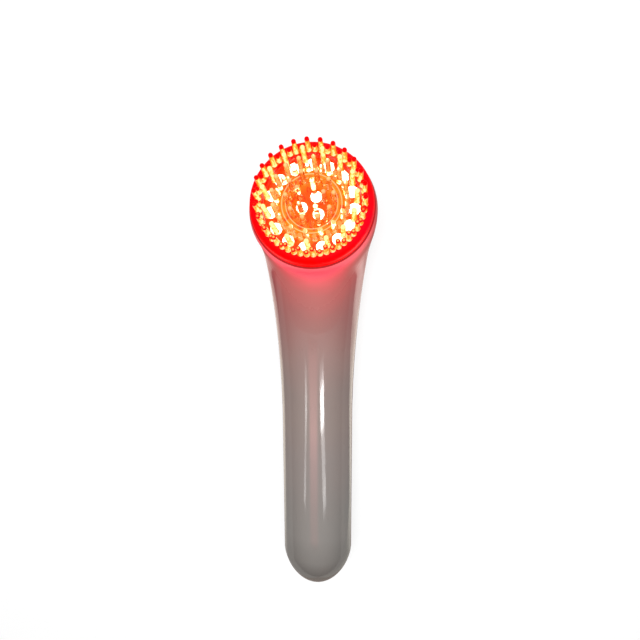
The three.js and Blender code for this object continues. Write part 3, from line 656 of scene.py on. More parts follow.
# %% Turn the tray, and cut a hole for every lamp
LEG_CIRCLE = 11.75 * MM
tray_section = [
    (0, -3), (21.8, -3), (21.9, -2.9), (21.9, -1.9), (21.8, -1.8), (21.3, -1.8), (20.9, -1.95),
    (0, -1.95),
]
tray = turned("tray", tray_section, around=96)
for i in range(3):
    angle = math.radians(92.25 - 120 * i)
    x, y = LEG_CIRCLE * math.cos(angle), LEG_CIRCLE * math.sin(angle)
    carve(tray, rod(1.5, -6.1, -2.4, x, y, around=24), "UNION")
for node in lamp_nodes:
    centre = middle_in_head(node)
    carve(tray, rod(2.65, -5, 0, centre.x, centre.y, around=32))
bevel_edges(tray, 0.12)
smooth(tray)
set_in_head(tray)
print("tray faces:", len(tray.data.polygons))

# %% [markdown]
# ## Button, contacts and screws on the back
# The back is the side that nobody photographs and everybody uses. The button is a shallow dish
# with a rounded rim, so that a thumb finds it. The contacts are gold pins with domed ends, and
# the screws get a real cross recess, cut by two crossed wedges.

# %% Turn the button
button = turned(
    "button",
    [
        (0, 1.0), (2.2, 0.95), (3.9, 0.72), (4.6, 0.52), (5.0, 0.5), (5.35, 0.62), (5.5, 0.95),
        (5.5, 2.95), (6.6, 2.95), (6.6, 3.95), (1.6, 3.95), (1.6, 4.6), (0, 4.6),
    ],
    around=72,
)
button.data.transform(Matrix.Translation((*middle_xy("button_cap"), 0)))
smooth(button, 40)
print("button faces:", len(button.data.polygons))

# %% Turn the charging contacts
contact_section = [
    (0, 0.2), (1.2, 0.24), (1.75, 0.42), (2.0, 0.75), (2.0, 1.8), (3.0, 1.8), (3.0, 2.6),
    (0.8, 2.6), (0.8, 3.4), (0, 3.4),
]
contacts = {}
for node in contact_nodes:
    contact = turned(node.replace("charging_contact", "gold_contact"), contact_section, around=40)
    contact.data.transform(Matrix.Translation((*middle_xy(node), 0)))
    smooth(contact, 40)
    contacts[node] = contact
print("contacts:", len(contacts))


# %% Turn a screw and cut its cross recess
HEAD_HEIGHT = 1.6
THREAD_PITCH = 0.9


def make_screw(name, seat, tip):
    """A screw whose head hangs below the seat. The recess opens downwards."""
    head = seat - 0.3
    thread = []
    turns = int((tip - HEAD_HEIGHT - head) / THREAD_PITCH)
    for i in range(turns):
        start = head + 0.6 + THREAD_PITCH * i
        thread += [(0.9, start), (1.15, start + 0.35), (1.15, start + 0.5), (0.9, start + 0.85)]
    end = head - HEAD_HEIGHT
    profile = [(0, end), (1.9, end), (2.4, end + 0.5), (2.4, head), (0.95, head)]
    screw = turned(name, profile + thread + [(0.75, tip - 0.6), (0.2, tip), (0, tip)], around=28)
    for angle in (0, 90):
        put_down_all()
        bpy.ops.mesh.primitive_cube_add(size=1, location=(0, 0, end * MM))
        wedge = bpy.context.active_object
        wedge.scale = (2.6 * MM, 0.55 * MM, 1.7 * MM)
        wedge.rotation_euler.z = math.radians(angle + 45)
        bpy.ops.object.transform_apply(location=True, rotation=True, scale=True)
        open_for_editing(wedge)
        pick(wedge, "VERT", lambda c: c.co.z > end * MM)
        bpy.ops.transform.resize(value=(0.45, 0.45, 1), center_override=(0, 0, head * MM))
        carve(screw, wedge)
    smooth(screw, 30)
    return screw


screws = {}
for node, (x, y, seat) in zip(screw_nodes, screw_places):
    screw = make_screw(node.replace("shell_screw", "cross_screw"), seat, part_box(node)[1][2] / MM)
    screw.data.transform(Matrix.Translation((x, y, 0)))
    screws[node] = screw
print("screws:", len(screws), "faces in one:", len(screws[screw_nodes[0]].data.polygons))

# %% [markdown]
# ## What each piece stands for, and what it rides on
# Every piece made here takes the place of one solid. It rides on the same body as that solid, so
# the brush head lifts off, and the button goes in, with their looks on.

# %% Tie each piece to its body and solid
STANDS_FOR = [
    (front_shell, "housing", "shell_white", "front_shell"),
    (rear_shell, "housing", "shell_white", "rear_shell"),
    (brush_ring, "brush", "ring_silicone", "brush_ring"),
    (brush_window, "brush", "window_silicone", "brush_window"),
    (seal, "housing", "seal_rubber", "head_seal"),
    (tray, "housing", "tray_plastic", "light_tray"),
    (button, "button", "button_white", "button_cap"),
]
STANDS_FOR += [(lamp, "housing", "lamp_clear", node) for node, lamp in lamps.items()]
STANDS_FOR += [(contact, "housing", "contact_gold", node) for node, contact in contacts.items()]
STANDS_FOR += [(screw, "housing", "steel", node) for node, screw in screws.items()]
for piece, body, slot, node in STANDS_FOR:
    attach(piece, body)
    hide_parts(node)
print("pieces tied:", len(STANDS_FOR))

# %% [markdown]
# ## Finishes
# A finish is a small network of nodes. Most pieces here are moulded plastic or rubber, whose
# colour and gloss drift a little over the surface and whose skin is never quite flat. That
# effect is built once as a node group, and each finish gives it its own colours and scale.


# %% Tools for building node networks
def put(tree, kind, inputs=(), **settings):
    """Adds a node. An input takes a plain value, or is wired to another node's output."""
    made = tree.nodes.new("ShaderNode" + kind)
    for name, value in settings.items():
        setattr(made, name, value)
    for name, value in dict(inputs).items():
        if isinstance(value, bpy.types.NodeSocket):
            tree.links.new(value, made.inputs[name])
        else:
            made.inputs[name].default_value = value
    return made


def blended(tree, share, first, second, **settings):
    """A colour between two, by a share from 0 to 1."""
    inputs = {0: share, 6: first, 7: second}
    return put(tree, "Mix", inputs, data_type="RGBA", **settings).outputs[2]


def tinted(tree, first, second):
    return blended(tree, 1, first, second, blend_type="MULTIPLY")


def stops(tree, value, *colours):
    """A colour ramp: each stop is a place from 0 to 1 and a colour."""
    ramp = put(tree, "ValToRGB", {0: value})
    while len(ramp.color_ramp.elements) < len(colours):
        ramp.color_ramp.elements.new(0.5)
    for element, (place, colour) in zip(ramp.color_ramp.elements, sorted(colours)):
        element.position = place
        element.color = colour if len(colour) == 4 else (*colour, 1)
    return ramp.outputs[0]


def grey_stops(tree, value, *levels):
    return stops(tree, value, *[(spot, (level,) * 3) for spot, level in levels])


def number(tree, operation, *values):
    return put(tree, "Math", dict(enumerate(values)), operation=operation).outputs[0]


def times(tree, *values):
    return number(tree, "MULTIPLY", *values)


def span(tree, value, low=0, high=1, to_low=0, to_high=1):
    """Maps a value from one span to another, and stops at its ends."""
    inputs = {0: value, 1: low, 2: high, 3: to_low, 4: to_high}
    return put(tree, "MapRange", inputs).outputs[0]


def noise(tree, place, scale, detail=2):
    return put(tree, "TexNoise", {"Vector": place, "Scale": scale, "Detail": detail}).outputs[0]


def object_place(tree):
    return put(tree, "TexCoord").outputs["Object"]


def parts_of(tree, place):
    """The three parts of a place or a direction."""
    return put(tree, "SeparateXYZ", {0: place}).outputs


def scaled(tree, place, scale, shift=(0, 0, 0)):
    """A place scaled along each axis and then shifted."""
    inputs = {"Vector": place, "Location": shift, "Scale": scale}
    return put(tree, "Mapping", inputs).outputs[0]


def length_of(tree, place):
    return put(tree, "VectorMath", {0: place}, operation="LENGTH").outputs["Value"]


def feed(node, **values):
    """Wires colours, masks and heights to the sockets of a node."""
    for socket, value in values.items():
        node.id_data.links.new(value, node.inputs[socket.replace("_", " ")])


def new_finish(name, **shader_values):
    finish = bpy.data.materials.new(name)
    finish.use_nodes = True
    shader = finish.node_tree.nodes["Principled BSDF"]
    for socket, value in shader_values.items():
        shader.inputs[socket.replace("_", " ")].default_value = value
    return finish, finish.node_tree, shader


def dress(piece, *finishes):
    piece.data.materials.clear()
    for finish in finishes:
        piece.data.materials.append(finish)


# %% The moulded finish as a node group
def new_group(name, *inputs):
    """A group that gives a colour, a roughness and a height. An input named for a colour is one."""
    group = bpy.data.node_groups.new(name, "ShaderNodeTree")
    for side, sockets in (("INPUT", inputs), ("OUTPUT", ("Colour", "Roughness", "Height"))):
        for socket in sockets:
            kind = "NodeSocketColor" if "Colour" in socket else "NodeSocketFloat"
            group.interface.new_socket(socket, in_out=side, socket_type=kind)
    given = group.nodes.new("NodeGroupInput").outputs
    return group, given, group.nodes.new("NodeGroupOutput")


moulded, given, result = new_group(
    "moulded skin", "Colour", "Drift Colour", "Drift Scale", "Grain Scale", "Gloss Low",
    "Gloss High",
)
place = object_place(moulded)
drift = noise(moulded, place, given["Drift Scale"], 3)
grain = noise(moulded, place, given["Grain Scale"], 2)
drift_share = span(moulded, drift, 0.35, 0.65)
grain_share = span(moulded, grain, 0.3, 0.7)
feed(
    result,
    Colour=blended(moulded, drift_share, given["Colour"], given["Drift Colour"]),
    Roughness=span(moulded, grain_share, to_low=given["Gloss Low"], to_high=given["Gloss High"]),
    Height=grain_share,
)
print("group:", moulded.name, [socket.name for socket in given][:-1])


def grouped_finish(name, group, given_values, distance, bump, shader_values):
    """A finish whose colour, gloss and relief all come from a node group."""
    finish, tree, shader = new_finish(name, **shader_values)
    made = put(tree, "Group", given_values, node_tree=group).outputs
    relief = put(tree, "Bump", {"Height": made["Height"], "Distance": distance, "Strength": bump})
    feed(shader, Base_Color=made["Colour"], Roughness=made["Roughness"], Normal=relief.outputs[0])
    return finish, tree, shader


def moulded_finish(name, colour, drift_colour, drift_scale, grain_scale, low, high, bump, **values):
    skin_values = {
        "Colour": (*colour, 1), "Drift Colour": (*drift_colour, 1), "Drift Scale": drift_scale,
        "Grain Scale": grain_scale, "Gloss Low": low, "Gloss High": high,
    }
    return grouped_finish(name, moulded, skin_values, 0.0001, bump, values)


# %% [markdown]
# ## Heights in the tilted head
# The finishes of the head change with the radius and the height: the foot of the ring is painted
# darker as painted shade, a pin changes along its length, and the tray from its rim to its middle.
# They need a place in the head's own frame, so the object's coordinates are moved and turned
# upright first.

# %% Read a place in the head's frame
def upright(tree, direction):
    """A direction turned from the tilted head's frame into an upright one."""
    inputs = {"Vector": direction, "Angle": TILT}
    return put(tree, "VectorRotate", inputs, rotation_type="X_AXIS").outputs[0]


def head_place(tree):
    """The place in the upright head, its radius and its height."""
    inputs = {0: object_place(tree), 1: tuple(FACE_CENTRE)}
    shifted = put(tree, "VectorMath", inputs, operation="SUBTRACT")
    place = upright(tree, shifted.outputs[0])
    parts = parts_of(tree, place)
    flat = put(tree, "CombineXYZ", {0: parts[0], 1: parts[1]})
    return place, length_of(tree, flat.outputs[0]), parts[2]


# %% [markdown]
# ## The glossy body
# The shell is white plastic seen against the light, and its warm grey base colour is painted shade
# for that. The red of the ring shines through its wall near the head and dies away down the handle.
# That glow is an emission that falls with the distance from the lit face. The base colour is
# painted redder and darker towards the neck for the ring's red light, darker at the round end as
# painted shade, and dark red on the deck under the ring as painted shade in that gap. The skin is
# glossy, with the faint waviness that breaks the edge of a long reflection, and turns satin where
# it meets the ring.

# %% Body finish
# The warm grey base colour is painted shade: the shell is white plastic seen against the light.
shell_finish, tree, shader = moulded_finish(
    "glossy shell", (0.29, 0.262, 0.243), (0.275, 0.256, 0.24), 40, 900, 0.08, 0.13, 0.45,
    IOR=1.5, Coat_Roughness=0.03, Emission_Strength=1,
)
place = object_place(tree)
wave = noise(tree, place, 120, 1)
relief = shader.inputs["Normal"].links[0].from_node
grain = relief.inputs["Height"].links[0].from_socket
feed(relief, Height=number(tree, "ADD", times(tree, grain, 0.03), wave))

# %% The glow that spreads through the shell
GLOW_CENTRE = (0, 80 * MM, 75 * MM)
widened = scaled(tree, place, (1.3, 1, 1))
from_glow = put(tree, "VectorMath", {0: widened, 1: GLOW_CENTRE}, operation="DISTANCE")
patchy = span(tree, noise(tree, place, 35), to_low=-0.004, to_high=0.004)
distance = number(tree, "ADD", from_glow.outputs["Value"], patchy)
glow = stops(
    tree, span(tree, distance, 0.04, 0.16),
    (0, (0.9, 0.02, 0.065)), (0.03, (0.66, 0.01, 0.03)), (0.055, (0.44, 0, 0.008)),
    (0.085, (0.28, 0, 0)), (0.12, (0.23, 0, 0)), (0.155, (0.155, 0, 0)),
    (0.21, (0.1, 0, 0)), (0.3, (0.065, 0, 0)), (0.46, (0.03, 0, 0)),
    (0.64, (0.03, 0, 0)), (0.86, (0.012, 0, 0)), (1, (0, 0, 0)),
)
TO_NECK = (0, -75 * MM, 0)
from_neck = length_of(tree, scaled(tree, place, (0.3, 1, 1.3), TO_NECK))
# Painted light: the base colour turns redder and darker towards the neck, standing in for the
# ring's red light on the shell.
painted_light_and_shade = stops(
    tree, span(tree, from_neck, 0.04, 0.12),
    (0.04, (1, 0.46, 0.5)), (0.08, (1, 0.48, 0.5)), (0.14, (1, 0.57, 0.57)),
    (0.21, (1, 0.62, 0.62)), (0.26, (1, 0.68, 0.67)), (0.35, (1, 0.79, 0.77)),
    (0.43, (1, 0.87, 0.85)), (0.6, (1, 0.94, 0.92)), (0.8, (1, 0.98, 0.96)), (1, (1, 1, 1)),
)
# Painted shade: the round end of the handle is painted darker.
painted_end_shade = span(tree, parts_of(tree, place)[1], -108 * MM, -82 * MM)
painted_light_and_shade = blended(tree, painted_end_shade, (0.66, 0.66, 0.65, 1), painted_light_and_shade)
_, mouth_radius, mouth_height = head_place(tree)
# Painted shade: the deck under the ring is painted dark red, the shade in that gap, and its
# emission is the ring's red light, brighter inside the collar.
deck_shade_and_glow = span(tree, mouth_height, -2.6 * MM, -2.4 * MM)
inside = span(tree, mouth_radius, 24.3 * MM, 23.9 * MM)
mouth_glow = blended(tree, inside, (0.3, 0, 0, 1), (0.9, 0.03, 0, 1))
away_from_ring = span(tree, mouth_height, -16 * MM, -23 * MM)
gloss = shader.inputs["Roughness"].links[0].from_socket
base = shader.inputs["Base Color"].links[0].from_socket
feed(
    shader,
    Base_Color=blended(tree, deck_shade_and_glow, tinted(tree, base, painted_light_and_shade), (0.2, 0.01, 0.012, 1)),
    Roughness=span(tree, away_from_ring, to_low=0.6, to_high=gloss),
    Coat_Weight=times(tree, away_from_ring, 0.35),
    Emission_Color=blended(tree, deck_shade_and_glow, glow, mouth_glow),
)
for piece in (front_shell, rear_shell):
    dress(piece, shell_finish)
print("body finish nodes:", len(tree.nodes))

# %% Button finish
dress(button, moulded_finish(
    "button plastic", (0.62, 0.6, 0.57), (0.58, 0.56, 0.53), 60, 1500, 0.28, 0.4, 0.15
)[0])
print("button dressed in:", button.data.materials[0].name)

# %% [markdown]
# ## The glowing ring
# Red silicone lit from inside: the light comes evenly through it and drowns its own shading.
# A saturated emission gives that, over a red base, and the soft gloss stays low. Slow patches of
# crimson keep the glow from being one flat red. The pins' caps are of the same rubber, and those
# on the handle's side show a bright spot where the light comes through their tops.

# %% Ring finish
ring_finish, tree, shader = moulded_finish(
    "lit red silicone", (0.5, 0, 0), (0.42, 0, 0.004), 60, 1200, 0.35, 0.5, 0.05,
    Specular_IOR_Level=0.08, Emission_Strength=1,
)
place, radius, height = head_place(tree)
patches = noise(tree, place, 45)
lit_red = stops(tree, patches, (0.52, (0.85, 0, 0)), (0.68, (0.55, 0, 0.012)))
# Painted shade: the ring's glow is painted dark at its foot, over the gap above the shell.
lit_red = blended(tree, span(tree, height, -1.45 * MM, -1.8 * MM), lit_red, (0.22, 0, 0, 1))
# Painted highlight: a thin orange line on the ring's inner rounding, where the window's light
# catches it.
across = span(tree, radius, 21.8 * MM, 22.8 * MM)
painted_edge_highlight = grey_stops(tree, across, (0.12, 0), (0.22, 1), (0.5, 1), (0.65, 0))
is_wall = span(tree, radius, 22.05 * MM, 21.95 * MM)
below = span(tree, height, 5.7 * MM, 5.4 * MM)
for mask, colour in ((is_wall, (0.75, 0, 0, 1)), (painted_edge_highlight, (1, 0.13, 0, 1))):
    lit_red = blended(tree, times(tree, mask, below), lit_red, colour)

# %% Caps of the ring's pins
in_cap = span(tree, height, 6 * MM, 6.1 * MM)
lit_red = blended(tree, in_cap, lit_red, (1, 0, 0, 1))
facing = upright(tree, put(tree, "NewGeometry").outputs["Normal"])
tip_top = span(tree, parts_of(tree, facing)[2], 0.82, 0.97)
handle_side = span(tree, parts_of(tree, place)[1], -4 * MM, -12 * MM)
bright_tip = times(tree, times(tree, in_cap, tip_top), handle_side)
feed(shader, Emission_Color=blended(tree, bright_tip, lit_red, (1, 0.72, 0.16, 1)))
print("ring finish nodes:", len(tree.nodes))

# %% [markdown]
# ## Soft pins full of light
# A clear silicone pin over a lamp pipes the light to its tip. The two outer rows glow pale yellow
# with amber streaks and outlines, and the inner ones are nearly clear, with light only at their
# tips. So a pin is glass to the renderer, and a glow that grows with the radius is added to it.
# The ring's own pins end in a red cap, the rubber of the ring.

# %% Pin finish
def pin_finish(name, clearness, ior, tint, glow_by_radius):
    """Silicone pins. Their glow has stops of radius in millimetres and level, and they turn amber
    at their outlines, where the eye looks through the most silicone."""
    finish, tree, shader = new_finish(
        name, Roughness=0.03, IOR=ior, Transmission_Weight=clearness, Emission_Strength=1
    )
    place, radius, height = head_place(tree)
    streaks = noise(tree, scaled(tree, place, (1, 1, 0.3)), 900, 1)
    sideways = put(tree, "LayerWeight", {"Blend": 0.5}).outputs["Facing"]
    wavering = number(tree, "ADD", sideways, span(tree, streaks, 0.38, 0.62, 0.09, -0.09))
    # Painted light: the glow of the pins is painted paler on the handle's side of the head.
    paler_towards_handle = span(tree, parts_of(tree, place)[1], 23 * MM, -23 * MM, 0, 0.17)
    wavering = number(tree, "SUBTRACT", wavering, paler_towards_handle)
    core = stops(
        tree, wavering,
        (0.41, (1, 1, 0.52)), (0.48, (1, 0.88, 0.24)), (0.56, (0.95, 0.48, 0.05)),
        (0.65, (0.75, 0.25, 0.01)), (1, (0.45, 0.1, 0)),
    )
    outline = span(tree, wavering, 0.45, 0.6)
    by_radius = [(r / 25, share) for r, share in glow_by_radius]
    level = grey_stops(tree, span(tree, radius, 0, 25 * MM), *by_radius)
    # Painted highlight: a pale glow at the very tip of each pin.
    painted_tip_highlight = span(tree, height, 15 * MM, 15.9 * MM, 0, 0.45)
    feed(
        shader,
        Base_Color=blended(tree, outline, (*tint, 1), (0.42, 0.12, 0.005, 1)),
        Emission_Color=tinted(tree, core, number(tree, "MAXIMUM", level, painted_tip_highlight)),
    )
    return finish


ring_pin_finish = pin_finish("lit ring pins", 0.25, 1.34, (0.55, 0.4, 0.09), [(0, 0.7), (25, 0.7)])
window_pin_finish = pin_finish(
    "lit window pins", 1, 1.25, (1, 0.94, 0.7),
    [(0, 0.015), (11.5, 0.02), (13.5, 0.08), (17.5, 0.1), (19, 0.15), (25, 0.17)],
)


# %% Tell the pins from the plate
def dress_by_height(piece, body_finish, pins_finish, top, cap=0, outer_finish=None, outer_row=25):
    """The pins are the separate shells of a piece that reach over its top. The cap of a pin keeps
    the body's finish. Pins from the outer row on have a finish of their own."""
    dress(piece, body_finish, pins_finish, *([outer_finish] if outer_finish else []))
    shells = bmesh.new()
    shells.from_mesh(piece.data)
    shells.faces.ensure_lookup_table()
    seen, pins = set(), 0
    for start in shells.faces:
        if start.index in seen:
            continue
        island, queue = [], [start]
        seen.add(start.index)
        while queue:
            face = queue.pop()
            island.append(face)
            for edge in face.edges:
                for near in edge.link_faces:
                    if near.index not in seen:
                        seen.add(near.index)
                        queue.append(near)
        spots = [OUT_OF_HEAD @ face.calc_center_median() for face in island]
        heights = [spot.z for spot in spots]
        if max(heights) > top * MM:
            pins += 1
            far_out = sum(spot.xy.length for spot in spots) / len(spots) > outer_row * MM
            for face, height in zip(island, heights):
                face.material_index = 0 if height > max(heights) - cap * MM else 2 if far_out else 1
    shells.to_mesh(piece.data)
    shells.free()
    return pins


print("ring pins:", dress_by_height(brush_ring, ring_finish, ring_pin_finish, 6, cap=RED_CAP))

# %% [markdown]
# ## The clear window
# The window is clear silicone with a breath of amber. It is true glass to the renderer, so the
# tray and the lamps show through it. The two crests of the ridge catch the light of the lamps and
# draw two thin pale circles.

# %% Window finish
window_finish, tree, shader = new_finish(
    "clear amber silicone", Base_Color=(1, 0.85, 0.62, 1), Roughness=0.02, IOR=1.41,
    Transmission_Weight=1, Emission_Strength=1,
)
_, radius, height = head_place(tree)
black, pale, faint = (0, 0, 0), (0.7, 0.4, 0.22), (0.1, 0.055, 0.012)
# Painted highlights: two thin pale glowing circles on the crests of the ridge, and a faint glow
# between them.
painted_crest_highlights = stops(
    tree, span(tree, radius, 10 * MM, 15 * MM),
    (0.25, black), (0.275, pale), (0.325, pale), (0.35, faint), (0.6, faint), (0.63, pale),
    (0.69, pale), (0.72, black),
)
above = span(tree, height, 1.2 * MM, 1.4 * MM)
feed(shader, Emission_Color=blended(tree, above, (*black, 1), painted_crest_highlights))
print("window pins:", dress_by_height(
    brush_window, window_finish, window_pin_finish, 3, cap=-1, outer_finish=ring_pin_finish,
    outer_row=18,
))

# %% [markdown]
# ## Lamps and tray
# A lit lamp is simply the brightest thing there is: a white emission. The tray glows orange,
# redder at its rim and where a shadow falls between two lamps, and lighter towards the middle.
# The walls of its holes stand right beside the lamps, so they are painted with the lamps' white
# glow.

# %% Lamp and tray finishes
lamp_finish, tree, shader = new_finish(
    "lit lamp", Base_Color=(0.9, 0.9, 0.88, 1), Roughness=0.1, Emission_Color=(1, 0.98, 0.94, 1),
    Emission_Strength=2.5,
)
for lamp in lamps.values():
    dress(lamp, lamp_finish)

tray_finish, tree, shader = moulded_finish(
    "lit orange tray", (0.6, 0.04, 0), (0.5, 0.03, 0), 90, 900, 0.4, 0.55, 0.1,
    Specular_IOR_Level=0.2, Emission_Strength=0.95,
)
place, radius, _ = head_place(tree)
warm = stops(
    tree, span(tree, radius, 0, 22 * MM),
    (0, (1, 0.11, 0)), (0.3, (1, 0.11, 0)), (0.42, (1, 0.2, 0)), (0.6, (1, 0.27, 0)),
    (0.72, (1, 0.2, 0)), (0.86, (1, 0.07, 0)), (0.97, (0.95, 0.03, 0)),
)

# %% Shadows of the pins on the tray
parts = parts_of(tree, place)
bearing = number(tree, "ARCTAN2", parts[1], parts[0])
polar = put(tree, "CombineXYZ", {
    0: times(tree, number(tree, "COSINE", bearing), 2.2),
    1: times(tree, number(tree, "SINE", bearing), 2.2),
    2: times(tree, radius, 160),
})
shadows = noise(tree, polar.outputs[0], 2.4, 1.5)
depth = span(tree, shadows, 0.56, 0.64)
feed(shader, Emission_Color=blended(tree, depth, warm, (0.9, 0.03, 0, 1)))
dress(tray, tray_finish, lamp_finish)
# Painted light: the walls of the lamp holes get the lamps' white glow.
lamp_axes = [middle_in_head(node).xy for node in lamp_nodes]
lit_walls = 0
for face in tray.data.polygons:
    spot = OUT_OF_HEAD @ face.center
    sloping = face.normal.dot(FACE_AXIS) < 0.95
    from_lamp = min((spot.xy - axis).length for axis in lamp_axes)
    if sloping and spot.z > -4 * MM and from_lamp < 2.8 * MM:
        face.material_index = 1
        lit_walls += 1
print("tray finish nodes:", len(tree.nodes), "lit hole walls:", lit_walls)

# %% [markdown]
# ## Metals, boards, wires and the rest inside
# Nobody sees these pieces until the shells come off, but each has its own finish: drawn steel
# with fine lines, gold with handling marks, green laminate with copper tracks under its lacquer,
# and soft wire covers.

# %% Drawn metal as a node group
drawn, given, result = new_group("drawn metal", "Colour", "Line Scale")
place = object_place(drawn)
lines = noise(drawn, scaled(drawn, place, (1, 0.06, 1)), given["Line Scale"], 4)
darker = span(drawn, lines, 0.3, 0.7, 0, 0.35)
feed(
    result,
    Colour=blended(drawn, darker, given["Colour"], (0.2, 0.19, 0.18, 1)),
    Roughness=span(drawn, lines, 0.3, 0.7, 0.2, 0.42),
    Height=lines,
)


def metal_finish(name, colour, line_scale):
    metal_values = {"Colour": (*colour, 1), "Line Scale": line_scale}
    return grouped_finish(name, drawn, metal_values, 0.00005, 0.3, {"Metallic": 1})[0]


steel_finish = metal_finish("drawn steel", (0.62, 0.63, 0.64), 900)
gold_finish = metal_finish("contact gold", (0.86, 0.62, 0.25), 1200)
brass_finish = metal_finish("sintered brass", (0.72, 0.52, 0.24), 500)

# %% Laminate with tracks, and the plastics inside
laminate_finish, tree, shader = moulded_finish(
    "green laminate", (0.01, 0.09, 0.04), (0.015, 0.11, 0.05), 80, 2500, 0.3, 0.42, 0.2
)
place = object_place(tree)
tracks = put(tree, "TexBrick", {
    "Vector": place, "Scale": 120, "Mortar Size": 0.09, "Mortar Smooth": 0.1,
    "Color1": (0, 0, 0, 1), "Color2": (0, 0, 0, 1), "Mortar": (1, 1, 1, 1),
})
base = shader.inputs["Base Color"].links[0].from_socket
feed(shader, Base_Color=blended(tree, tracks.outputs["Color"], base, (0.05, 0.2, 0.07, 1)))

PLASTICS = {
    "seal rubber": ((0.02, 0.02, 0.022), (0.03, 0.028, 0.028), 300, 3000, 0.55, 0.75, 0.4),
    "chip resin": ((0.012, 0.012, 0.013), (0.02, 0.02, 0.02), 400, 4000, 0.45, 0.6, 0.4),
    "frame plastic": ((0.55, 0.54, 0.51), (0.5, 0.49, 0.47), 90, 1500, 0.45, 0.6, 0.3),
    "plunger plastic": ((0.75, 0.1, 0.02), (0.65, 0.08, 0.02), 200, 2500, 0.4, 0.5, 0.2),
    "shrunk sleeve": ((0.02, 0.12, 0.35), (0.015, 0.09, 0.28), 120, 700, 0.22, 0.38, 0.5),
    "red wire cover": ((0.5, 0.01, 0.01), (0.42, 0.01, 0.01), 300, 2500, 0.4, 0.52, 0.2),
    "black wire cover": ((0.015, 0.015, 0.016), (0.025, 0.024, 0.024), 300, 2500, 0.4, 0.52, 0.2),
    "white wire cover": ((0.7, 0.69, 0.66), (0.62, 0.61, 0.58), 300, 2500, 0.4, 0.52, 0.2),
}
finishes = {name: moulded_finish(name, *values)[0] for name, values in PLASTICS.items()}

dress(seal, finishes["seal rubber"])
for piece in screws.values():
    dress(piece, steel_finish)
for piece in contacts.values():
    dress(piece, gold_finish)
INSIDE = {
    laminate_finish: ["led_board", "charge_board", "main_board"],
    steel_finish: ["board_screw_1", "board_screw_2", "motor_can", "motor_shaft"],
    brass_finish: ["eccentric_weight"],
    finishes["chip resin"]: ["control_chip", "tact_switch"],
    finishes["frame plastic"]: ["battery_cradle", "motor_bracket"],
    finishes["plunger plastic"]: ["switch_plunger"],
    finishes["shrunk sleeve"]: ["battery"],
    finishes["red wire cover"]: ["battery_lead_plus"],
    finishes["black wire cover"]: ["battery_lead_minus", "motor_lead"],
    finishes["white wire cover"]: ["charge_lead", "lamp_lead"],
}
for finish, names in INSIDE.items():
    for name in names:
        dress(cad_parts[name], finish)
print("solids dressed:", sum(len(names) for names in INSIDE.values()))

# %% [markdown]
# ## Floor
# The floor is a plain pale sheet. The photograph has no background, so a straight look at the
# floor finds it white, and a faint shadow stays under the device. What the gloss of the body
# reflects of it is a cream card close round the device, on a dark table. The card's edges were
# found by following the pale bands of the handle's sides back to the floor.

# %% Floor with a cream card for the reflections
scene = bpy.context.scene
scene.view_settings.view_transform = "Standard"


def plane(name, width, length):
    flat_piece = added(name, "plane", size=1)
    flat_piece.data.transform(Matrix.Diagonal((width, length, 1, 1)))
    return flat_piece


floor = plane("floor", 4, 4)
floor_finish, tree, shader = new_finish("pale floor", Roughness=0.9, Specular_IOR_Level=0)
path = put(tree, "LightPath").outputs
parts = parts_of(tree, object_place(tree))
along = span(tree, parts[1], -0.14, 0.06)
left_edge = grey_stops(
    tree, along, (0, 0.043), (0.6, 0.047), (0.75, 0.053), (0.85, 0.062), (1, 0.058)
)
right_edge = grey_stops(
    tree, along,
    (0, 0.085), (0.1, 0.058), (0.2, 0.045), (0.3, 0.038), (0.5, 0.041), (0.65, 0.05),
    (0.73, 0.073), (0.8, 0.105), (1, 0.11),
)
leftwards = times(tree, parts[0], -1)
off_right = number(tree, "GREATER_THAN", parts[0], right_edge)
off_left = number(tree, "GREATER_THAN", leftwards, left_edge)
off_card = number(tree, "MAXIMUM", off_right, off_left)
lengthwise = span(tree, parts[1], -0.15, 0.15)
left_cream = stops(
    tree, lengthwise,
    (0.08, (0.42, 0.4, 0.38)), (0.2, (0.95, 0.88, 0.78)), (0.35, (1.3, 1.2, 1.05)),
    (0.5, (1.3, 1.2, 1.05)), (0.62, (1.15, 1.02, 0.92)), (0.67, (1, 0.85, 0.77)),
    (0.74, (0.7, 0.5, 0.46)),
)
right_cream = stops(
    tree, lengthwise,
    (0.08, (0.48, 0.46, 0.42)), (0.2, (1, 0.94, 0.84)), (0.35, (1.5, 1.4, 1.24)),
    (0.5, (1.62, 1.5, 1.32)), (0.6, (1.5, 1.38, 1.22)), (0.68, (0.9, 0.72, 0.66)),
    (0.74, (0.6, 0.45, 0.42)),
)
# Painted light: a brighter pool on the card, right of the neck.
from_head, to_head = span(tree, parts[1], 0.016, 0.028), span(tree, parts[1], 0.058, 0.05)
painted_light_pool = times(tree, times(tree, from_head, to_head), span(tree, parts[0], 0.034, 0.06))
right_cream = blended(tree, painted_light_pool, right_cream, (2.5, 2.3, 2.1, 1))
cream = blended(tree, span(tree, parts[0], 0, 0.01), left_cream, right_cream)
# Painted shadow: the card under the device is painted darker, for the device's own shadow on the
# floor.
painted_shadow_edge = grey_stops(tree, along, (0, 0.027), (0.75, 0.028), (1, 0.03))
within_painted_shadow_left = number(tree, "LESS_THAN", leftwards, painted_shadow_edge)
painted_shadow_under = times(tree, within_painted_shadow_left, number(tree, "LESS_THAN", parts[0], 0.027))
cream = blended(tree, painted_shadow_under, cream, (0.34, 0.28, 0.25, 1))
card = blended(tree, off_card, cream, (0.42, 0.4, 0.38, 1))
